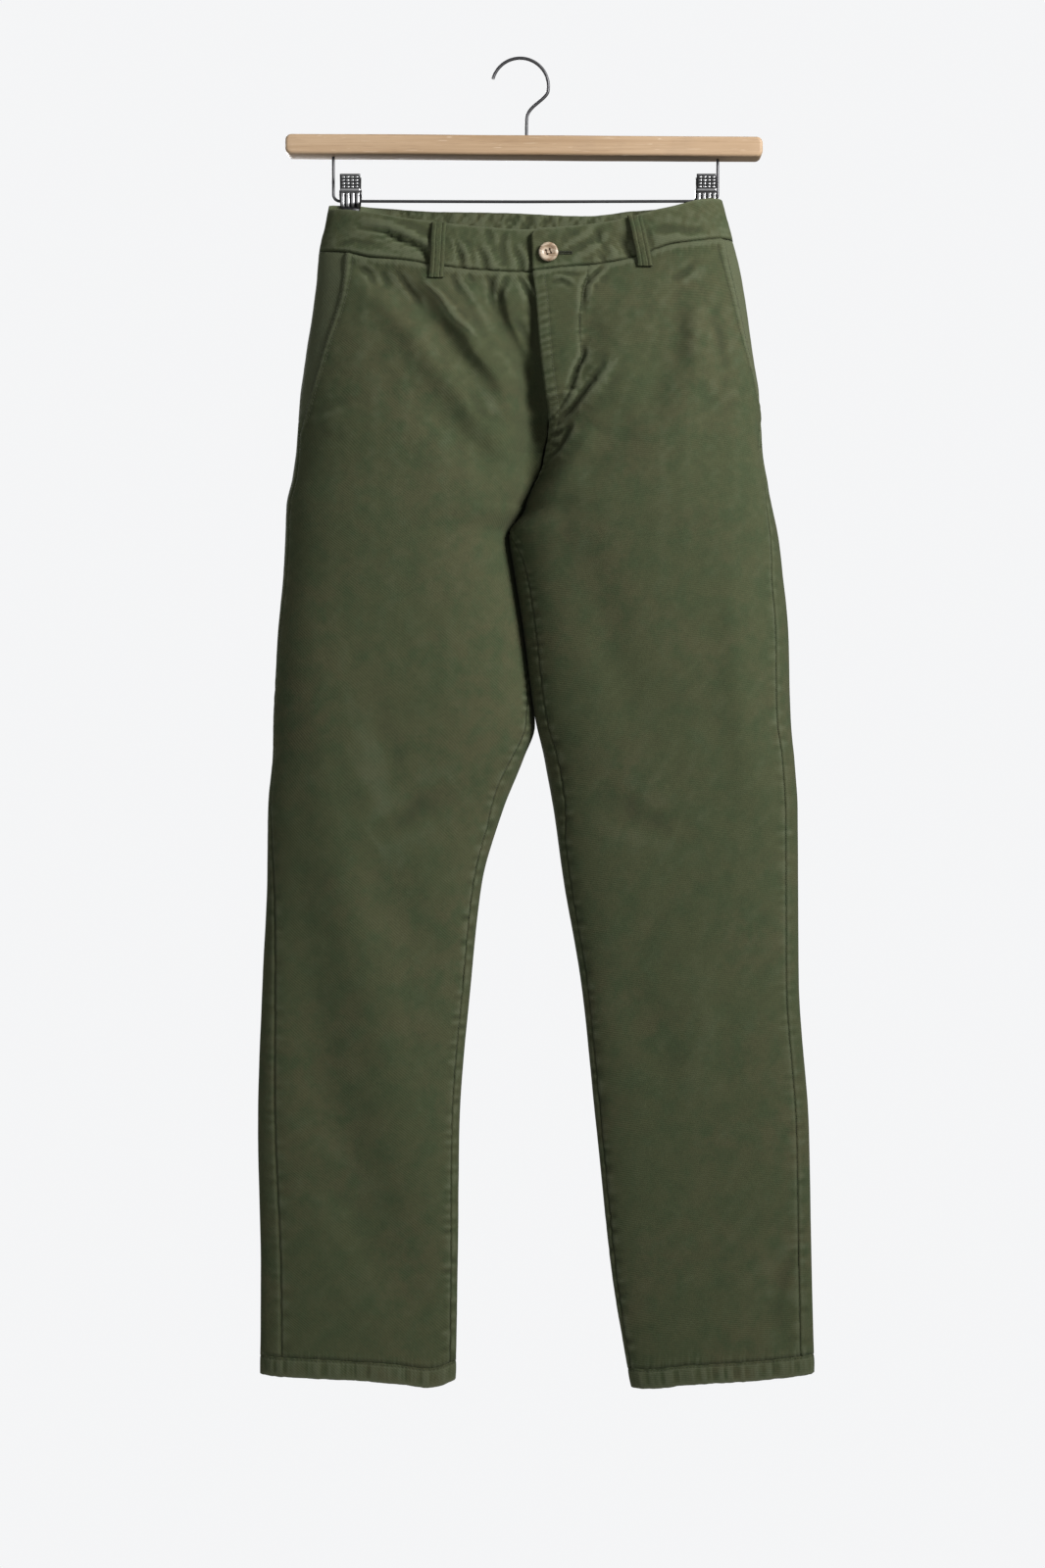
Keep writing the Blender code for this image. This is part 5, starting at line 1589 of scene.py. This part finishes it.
def addLoop(name, face, topX, footX, seed):
    # a flat tube of folded twill, sewn down at its two ends
    thick, width, columns = loops["thick"], loops["width"], loops["columns"]
    base = 0.3 + (0.3 if face == frontSide else band["gatherDepth"] + 0.2)
    top = waistAt[face]["top"](topX) + 0.6
    foot = waistAt[face]["seam"](footX) + loops["foot"]
    count, middle = round(loops["rows"] * detail), columns // 2
    turnedEdge = Vector((thick / 4, 0, 0))
    rows, faceRows = [], []
    for r in range(count):
        part = r / (count - 1)
        drop = mix(top, foot, part)
        stand = loops["stand"] * math.sin(math.pi * part) ** 1.3
        pinch = ease(0, 0.05, min(part, 1 - part))
        centre = mix(topX, footX, part) + 0.35 * ripple(part * 40, 0, 9, seed)
        outer, inner = [], []
        for column in range(columns + 1):
            step = column / columns - 0.5
            x = centre + step * (width - thick * 0.6 * pinch)
            leg = leftLeg if x > 3.0 else rightLeg
            place = leg.atX(x, face, drop)
            place.y += face * (base + stand + thick * 0.5)
            edge = 1 - 0.55 * bump(0.5 - abs(step), 0.07)
            half = thick * 0.5 * mix(0.55, edge, pinch)
            groove = 0.5 * bump(abs(step) * width - loops["stitchAt"], 0.8)
            pucker = 0.18 * ripple(drop, step * 20, 2.6, seed + 1)
            outer.append(place + Vector((0, face * (half - groove + pucker), 0)))
            inner.append(place - Vector((0, face * half, 0)))
        west = (outer[0] + inner[0]) / 2 - turnedEdge
        east = (outer[-1] + inner[-1]) / 2 + turnedEdge
        faceRows.append(outer)
        rows.append([*inner[middle::-1], west, *outer, east, *inner[: middle - 1 : -1]])
    grid = ClothGrid(rows, 1 if face == frontSide else -1, closed=True)
    for r in range(count):
        for c in (1, 2, 3, columns + 1, columns + 2, columns + 3):
            grid.toneShift[r, middle + c] = loops["edgeWear"]
    piece = sewCloth(f"cloth_loop_{name}", grid, loops["layer"], looks["band"], (f"belt_loop_{name}",))
    side = "back" if face == backSide else name.split("_")[1]
    declareCloth(piece, grid, (f"waistband_{side}",))
    lift = Vector((0, face * 0.12, 0))
    for column in (7, 17):
        loopRoutes.append(([row[column] for row in faceRows[2:-2]], lift))
    for r in (2, count - 7, count - 3):
        loopTacks.append((faceRows[r][1:-1], lift))


for number, place in enumerate(loops["places"]):
    addLoop(*place, number * 3.0 + 201)


print("button and buttonhole")

button = {
    "x": 21.7,
    "drop": 177.2,
    "radius": 8.5,
    "height": 3.2,
    "dish": 0.9,
    "hole": 0.95,
    "spread": 1.75,
    "turn": 20,
    "standOff": 0.5,
    "thread": 0.2,
    "shankRings": 5,
}
buttonhole = {"start": 25.7, "end": 42.5, "drop": 177.6, "outerEdge": 1.25, "innerEdge": 0.15, "lift": 0.3}


def turned(profile, steps, closed=False):
    # points of (radius, height) spun into a solid; the profile of a ring is closed
    shape = bmesh.new()
    verts = [shape.verts.new((radius * mm, 0, high * mm)) for radius, high in profile]
    following = verts[1:] + verts[:1] if closed else verts[1:]
    edges = [shape.edges.new(pair) for pair in zip(verts, following)]
    bmesh.ops.spin(shape, geom=verts + edges, axis=(0, 0, 1), angle=math.tau, steps=steps, use_merge=True)
    bmesh.ops.remove_doubles(shape, verts=shape.verts, dist=0.000001)
    bmesh.ops.recalc_face_normals(shape, faces=shape.faces)
    return shape


def addRod(shape, radius, depth, matrix, segments, topRadius=None):
    ends = {"radius1": radius * mm, "radius2": (radius if topRadius is None else topRadius) * mm}
    bmesh.ops.create_cone(shape, cap_ends=True, segments=segments, depth=depth * mm, matrix=matrix, **ends)


def onBand(x, drop):
    turn = leftLeg.turnAtX(x, frontSide, drop)
    return leftLeg.point(turn, drop), leftLeg.outward(turn, drop)


def drilled(shape, drill):
    # the first bmesh with the second cut out of it, as a mesh
    solids = []
    for name, part in (("turning", shape), ("drill", drill)):
        mesh = bpy.data.meshes.new(name)
        part.to_mesh(mesh)
        part.free()
        solids.append(bpy.data.objects.new(name, mesh))
        bpy.context.scene.collection.objects.link(solids[-1])
    cut = solids[0].modifiers.new("Holes", "BOOLEAN")
    cut.operation, cut.object = "DIFFERENCE", solids[1]
    mesh = bpy.data.meshes.new_from_object(solids[0].evaluated_get(bpy.context.evaluated_depsgraph_get()))
    for solid in solids:
        bpy.data.objects.remove(solid)
    return mesh


def addButton():
    radius, high, spread = button["radius"], button["height"], button["spread"]
    well = high - button["dish"]
    profile = [(0, well), (2.9, well), (4.0, well + 0.12), (5.0, high - 0.32), (5.8, high - 0.04), (6.6, high)]
    profile += [(7.4, high - 0.14), (8.0, high - 0.5), (8.35, high - 1.0), (radius, high - 1.6)]
    profile += [(8.35, 0.9), (7.8, 0.35), (6.8, 0), (0, 0)]
    drill = bmesh.new()
    for x, y in ((-1, -1), (-1, 1), (1, -1), (1, 1)):
        at = Matrix.Translation(Vector((x, y, 1.0)) * spread * mm)
        addRod(drill, button["hole"], 14, at, 20)
    mesh = drilled(turned(profile, 72), drill)
    place, out = onBand(button["x"], button["drop"])
    faced = Vector((0, 0, 1)).rotation_difference(out).to_matrix().to_4x4()
    faced = faced @ Matrix.Rotation(math.radians(button["turn"]), 4, "Z")
    matrix = Matrix.Translation((place + out * button["standOff"]) * mm) @ faced
    mesh.transform(matrix)
    mesh.name = "horn_button"
    mesh.shade_smooth()
    mesh.set_sharp_from_angle(angle=math.radians(35))
    finishPiece("horn_button", mesh, looks["horn"], ("button",))
    # the thread crosses from hole to hole and winds round below the button
    thread = bmesh.new()
    for x in (-spread, spread):
        for shift in (-button["thread"], button["thread"]):
            at = Vector((x - shift, 0, well + 0.16))
            laid = Vector((0, 1, 0)).to_track_quat("Z", "Y").to_matrix().to_4x4()
            addRod(thread, button["thread"], 2 * spread, Matrix.Translation(at * mm) @ laid, 8)
    for ring in range(button["shankRings"]):
        addRod(thread, 1.9, 0.34, Matrix.Translation(Vector((0, 0, -0.9 + ring * 0.3)) * mm), 16, 1.7)
    addShape("button_thread", thread, looks["brownThread"], matrix=matrix)


def addButtonhole():
    # close stitches across both edges of a slot
    start, end, drop = buttonhole["start"], buttonhole["end"], buttonhole["drop"]
    steps = round((end - start) / holeStitch["pitch"])
    thread = bmesh.new()
    for step in range(steps + 1):
        x = mix(start, end, step / steps)
        for side in (-1, 1):
            place, out = onBand(x, drop + side * buttonhole["outerEdge"])
            ahead = onBand(x, drop + side * buttonhole["innerEdge"])[0]
            addStitch(thread, place.lerp(ahead, 0.4) + out * buttonhole["lift"], ahead - place, holeStitch)
    addShape("buttonhole", thread, looks["darkThread"])


addButton()
addButtonhole()


print("hanger")

hanger = {
    "barEnds": (-209.6, 210.4),
    "barTop": 67.8,
    "barTilt": 2.6,
    "barHeight": 17.8,
    "barDepth": 25.5,
    "barRound": 2.8,
    "barEndRound": 5.5,
    "barUneven": (0.18, 0.22),  # hand-finished wood is never quite straight
    "hookWire": 1.45,
    "hookCentre": (-3.0, 23.55),
    "hookRadius": 25.0,
    "hookNeck": [(4.2, 46.5), (8.4, 41.5), (14.0, 37.0), (18.6, 33.0)],
    "stemX": 2.6,
    "stemTop": 51.5,
    "frameWire": 1.3,
    "frameLegs": (-168.0, 171.5),
    "frameDrop": 125.0,
    "frameCorner": 6.0,
}


def bevelEdges(shape, edges, size, segments):
    style = {"segments": segments, "profile": 0.5, "affect": "EDGES", "material": -1}
    bmesh.ops.bevel(shape, geom=edges, offset=size * mm, **style)


def addBar():
    bar = bmesh.new()
    bmesh.ops.create_cube(bar, size=1.0)
    west, east = hanger["barEnds"]
    for vert in bar.verts:
        x = west if vert.co.x < 0 else east
        tilt = 0.0 if vert.co.x < 0 else hanger["barTilt"]
        drop = hanger["barTop"] + tilt + (0.5 - vert.co.z) * hanger["barHeight"]
        vert.co = Vector((x, vert.co.y * hanger["barDepth"], -drop)) * mm
    rims = [edge for edge in bar.edges if abs(edge.verts[0].co.y - edge.verts[1].co.y) > 0.01]
    bevelEdges(bar, rims, hanger["barEndRound"], 8)
    bmesh.ops.subdivide_edges(bar, edges=[edge for edge in bar.edges if edge.calc_length() > 0.3], cuts=29)
    bevelEdges(bar, [edge for edge in bar.edges if edge.calc_face_angle(0) > 1], hanger["barRound"], 6)
    sideways, upright = hanger["barUneven"]
    for vert in bar.verts:
        x = vert.co.x / mm
        vert.co.z += upright * ripple(x, vert.co.y / mm * 3, 70, 301) * mm
        vert.co.y += sideways * ripple(x, vert.co.z / mm * 3, 55, 302) * mm
    addShape("wooden_bar", bar, looks["wood"], ("hanger_bar",), sharp=50)


def arc(centre, radius, start, end, steps):
    angles = [math.radians(mix(start, end, step / steps)) for step in range(steps + 1)]
    return [(centre[0] + radius * math.cos(angle), centre[1] - radius * math.sin(angle)) for angle in angles]


def smoothed(route, rounds):
    # corners cut again and again
    for _ in range(rounds):
        cut = [route[0]]
        for (ax, ay), (bx, by) in zip(route, route[1:]):
            cut += [(mix(ax, bx, 0.25), mix(ay, by, 0.25)), (mix(ax, bx, 0.75), mix(ay, by, 0.75))]
        route = cut + [route[-1]]
    return route


def addWire(name, route, radius, replaced):
    # a round wire through points of (across, drop) in the plane of the hanger
    curve = bpy.data.curves.new(name, "CURVE")
    curve.dimensions, curve.use_fill_caps = "3D", True
    curve.bevel_depth, curve.bevel_resolution = radius * mm, 5
    spline = curve.splines.new("POLY")
    spline.points.add(len(route) - 1)
    for point, (x, drop) in zip(spline.points, route):
        point.co = (x * mm, 0, -drop * mm, 1)
    wire = bpy.data.objects.new(name, curve)
    bpy.context.scene.collection.objects.link(wire)
    drawn = bpy.data.meshes.new_from_object(wire)
    bpy.data.objects.remove(wire)
    shape = bmesh.new()
    shape.from_mesh(drawn)
    bpy.data.meshes.remove(drawn)
    bmesh.ops.remove_doubles(shape, verts=shape.verts, dist=0.000005)
    bmesh.ops.recalc_face_normals(shape, faces=shape.faces)
    addShape(name, shape, looks["wire"], (replaced,), sharp=50)


def addHookAndFrame():
    west, east = hanger["barEnds"]
    stemX, tilt = hanger["stemX"], hanger["barTilt"]
    top = hanger["barTop"] + tilt * (stemX - west) / (east - west)
    stem = [(stemX, top + 1.0), (stemX, hanger["stemTop"]), *hanger["hookNeck"]]
    bend = arc(hanger["hookCentre"], hanger["hookRadius"], -14, 165, 22)
    addWire("hook_wire", smoothed(stem + bend, 2), hanger["hookWire"], "hanger_hook")
    foot, corner = hanger["frameDrop"], hanger["frameCorner"]
    left, right = hanger["frameLegs"]
    low, under = foot - corner, hanger["barTop"] + hanger["barHeight"] - 0.6
    route = [(left, under), (left, low - 3), *arc((left + corner, low), corner, 180, 270, 10)]
    route += [(0, foot + 0.5), *arc((right - corner, low), corner, 270, 360, 10)]
    route += [(right, low - 3), (right, under + tilt)]
    addWire("frame_wire", route, hanger["frameWire"], "hanger_frame")


addBar()
addHookAndFrame()


print("clips")

clips = {
    "rollPlaces": (-152.8, 156.0),
    "top": 102.5,
    "tips": {"front": 135.0, "rear": 147.0},
    "narrows": (127.0, 139.0),  # from the plate's width to the jaw's
    "width": 18.0,
    "jawWidth": 15.5,
    "jawStart": 127.0,
    "jawTop": 132.0,
    "grip": 0.7,
    "wall": 1.1,
    "flare": 9.0,
    "rows": 60,
    "columns": 40,
    "roll": (2.7, 10.0),
}
pressing = {
    "pips": 4,  # rows and columns of them on the grip
    "pipTop": 105.4,
    "pipPitch": (0.215, 2.7),
    "pip": 1.25,
    "pipShape": (1.25, 0.62, 0.85),
    "crossBand": (116.5, 0.45),
    "ribs": 4,
    "ribEnds": (118.5, 132.0),
    "ribHeight": 0.7,
    # how much painted highlight the flat above the ribs gets; the rest is painted shade
    "flatPaintedGlint": 0.2,
}
lugs = {"apart": 9.3, "rise": 5.5, "radius": 4.4, "wall": 0.9, "round": 0.25}


def clipPoint(leg, face, place, across, drop, out=0.0):
    # a point on the outer face of a clip's plate
    width = mix(clips["width"], clips["jawWidth"], ease(*clips["narrows"], drop))
    apart = mix(clips["roll"][0] + 0.3, clips["flare"], ease(124, clips["top"] - 8, drop))
    jaw = ease(clips["jawStart"], clips["jawTop"], drop)
    x = place + across * width
    bandY = leg.atX(x, backSide, max(drop, clips["jawTop"])).y
    grip = bandY + clips["grip"] if face == backSide else bandY - 2.2 - clips["grip"]
    sprung = max(apart, grip) if face == backSide else -apart
    return Vector((x, mix(sprung, grip, jaw) + face * (clips["wall"] + out), -drop))


def pressed(across, drop):
    # how far the pressing stands out, and how bright its painted highlight is; where that is low, painted
    # shade darkens it
    bandDrop, bandHeight = pressing["crossBand"]
    top, bottom = pressing["ribEnds"]
    rim = 0.5 - abs(across)
    wave = 0.5 + 0.5 * math.cos(math.tau * pressing["ribs"] * (across + 0.5) + math.pi)
    ribs = pressing["ribHeight"] * ease(top, top + 1, drop) * ease(bottom, bottom - 2, drop)
    ridge = bandHeight * bump(drop - bandDrop, 1.1) + ribs * ease(0.3, 0.7, wave)
    curl = -0.7 * bump(rim, 0.035) - 0.6 * bump(drop - clips["top"], 0.8)
    flat = pressing["flatPaintedGlint"] * ease(top + 2, top, drop) * (1 - bump(rim, 0.05))
    return ridge + curl, min(flat + max(ridge, 0) * 1.3, 1)


def addPlate(side, place, word, face):
    leg, down, wide = legs[side], clips["rows"], clips["columns"]
    plate = bmesh.new()
    # the plate's painted highlight and painted shade
    polish = plate.verts.layers.float.new("polish")
    bmesh.ops.create_grid(plate, x_segments=wide, y_segments=down, size=0.5)
    for vert in plate.verts:
        row, column = round((0.5 - vert.co.y) * down), round((vert.co.x + 0.5) * wide)
        across, drop = column / wide - 0.5, mix(clips["top"], clips["tips"][word], row / down)
        out, vert[polish] = pressed(across, drop)
        vert.co = clipPoint(leg, face, place, across, drop, out) * mm
    if face == backSide:
        bmesh.ops.reverse_faces(plate, faces=plate.faces)
    count, (wideStep, downStep) = pressing["pips"], pressing["pipPitch"]
    for row in range(count):
        for column in range(count):
            across = (column - (count - 1) / 2) * wideStep
            at = clipPoint(leg, face, place, across, pressing["pipTop"] + row * downStep)
            made = bmesh.ops.create_uvsphere(plate, u_segments=10, v_segments=6, radius=pressing["pip"] * mm)
            bmesh.ops.scale(plate, verts=made["verts"], vec=pressing["pipShape"])
            bmesh.ops.translate(plate, verts=made["verts"], vec=at * mm)
            for vert in made["verts"]:
                # painted highlight on each pip
                vert[polish] = 1.0
    name = f"clip_{word}_{side}"
    piece = addShape(name, plate, looks["plate"], (f"clip_plate_{word}_{side}",))
    thick = piece.modifiers.new("Wall", "SOLIDIFY")
    thick.thickness, thick.offset = clips["wall"] * mm, -1


def lyingAcross(x, drop):
    return Matrix.Translation(Vector((x, 0, -drop)) * mm) @ Matrix.Rotation(math.pi / 2, 4, "Y")


def addLugs(side, place):
    # the two plates turn on these
    shape = bmesh.new()
    for way in (-1, 1):
        matrix = lyingAcross(place + way * lugs["apart"], hanger["frameDrop"] - lugs["rise"])
        addRod(shape, lugs["radius"], lugs["wall"], matrix, 24)
    bevelEdges(shape, [edge for edge in shape.edges if edge.calc_face_angle(0) > 1], lugs["round"], 2)
    addShape(f"clip_lugs_{side}", shape, looks["plate"], sharp=40)


def addRoller(side, place):
    radius, length = clips["roll"]
    bore, half = hanger["frameWire"], length / 2
    profile = [(bore, -half), (bore + 0.3, -half - 0.2), (radius - 0.25, -half), (radius, -half + 0.25)]
    profile += [(radius, half - 0.25), (radius - 0.25, half), (bore, half)]
    matrix = lyingAcross(place, hanger["frameDrop"])
    roll = turned(profile, 32, closed=True)
    name = f"clip_roller_{side}"
    addShape(name, roll, looks["plate"], (f"clip_roll_{side}",), matrix, 50)


for side, place, rollPlace in zip(("right", "left"), clipPlaces, clips["rollPlaces"]):
    addPlate(side, place, "front", frontSide)
    addPlate(side, place, "rear", backSide)
    addLugs(side, place)
    addRoller(side, rollPlace)


print("stitches")

lift, backLift = Vector((0, frontSide * 0.1, 0)), Vector((0, backSide * 0.1, 0))
frontRight, frontLeft = grids["front_right"], grids["front_left"]


def flyRoutes():
    # down beside the fly's edge, and on down the seam below the fly
    spans = ((panels["flyStitch"], 196, flyEnd), (2.2, flyEnd, 392))
    return [(frontLeft.line("start", *span), lift) for span in spans]


def placketRoute():
    placket = []
    for (ax, az), (bx, bz) in zip(flyLine, flyLine[1:]):
        for step in range(12):
            x, drop = mix(ax, bx, step / 12), mix(az, bz, step / 12)
            if drop > waistAt[frontSide]["seam"](x) + 1:
                placket.append(leftLeg.atX(x, frontSide, drop) + Vector((0, 0.25, 0)))
    return placket, lift


def mouthRoutes():
    routes = []
    for grid, end in ((frontRight, 326), (frontLeft, 300)):
        routes += [(grid.line("end", inset, 176, end), lift) for inset in panels["mouthStitches"]]
    return routes


def hemRoutes():
    routes = []
    for side in ("right", "left"):
        hem = grids[f"hem_{side}"]
        row = [place.lerp(below, 0.2) for place, below in zip(hem.rows[1], hem.rows[2])]
        middle = len(row) // 2
        routes += [(row[:middle], lift), (row[middle:], backLift)]
    return routes


def mouthTacks():
    # a short bar of close stitches across each end of a pocket's mouth
    tacks = []
    for grid, drops in ((frontRight, (337.5, 348)), (frontLeft, (300, 330))):
        for drop in drops:
            line = [grid.line("end", inset, drop - 1.2, drop + 1.2) for inset in (1, 3, 5, 7)]
            tacks.append(([found[0] for found in line if found], lift))
    return tacks


routes = [*flyRoutes(), *mouthRoutes(), placketRoute(), *hemRoutes(), *loopRoutes]
addStitches("stitches", routes, looks["thread"], seamStitch)
addStitches("bar_tacks", loopTacks + mouthTacks(), looks["darkThread"], tackStitch)
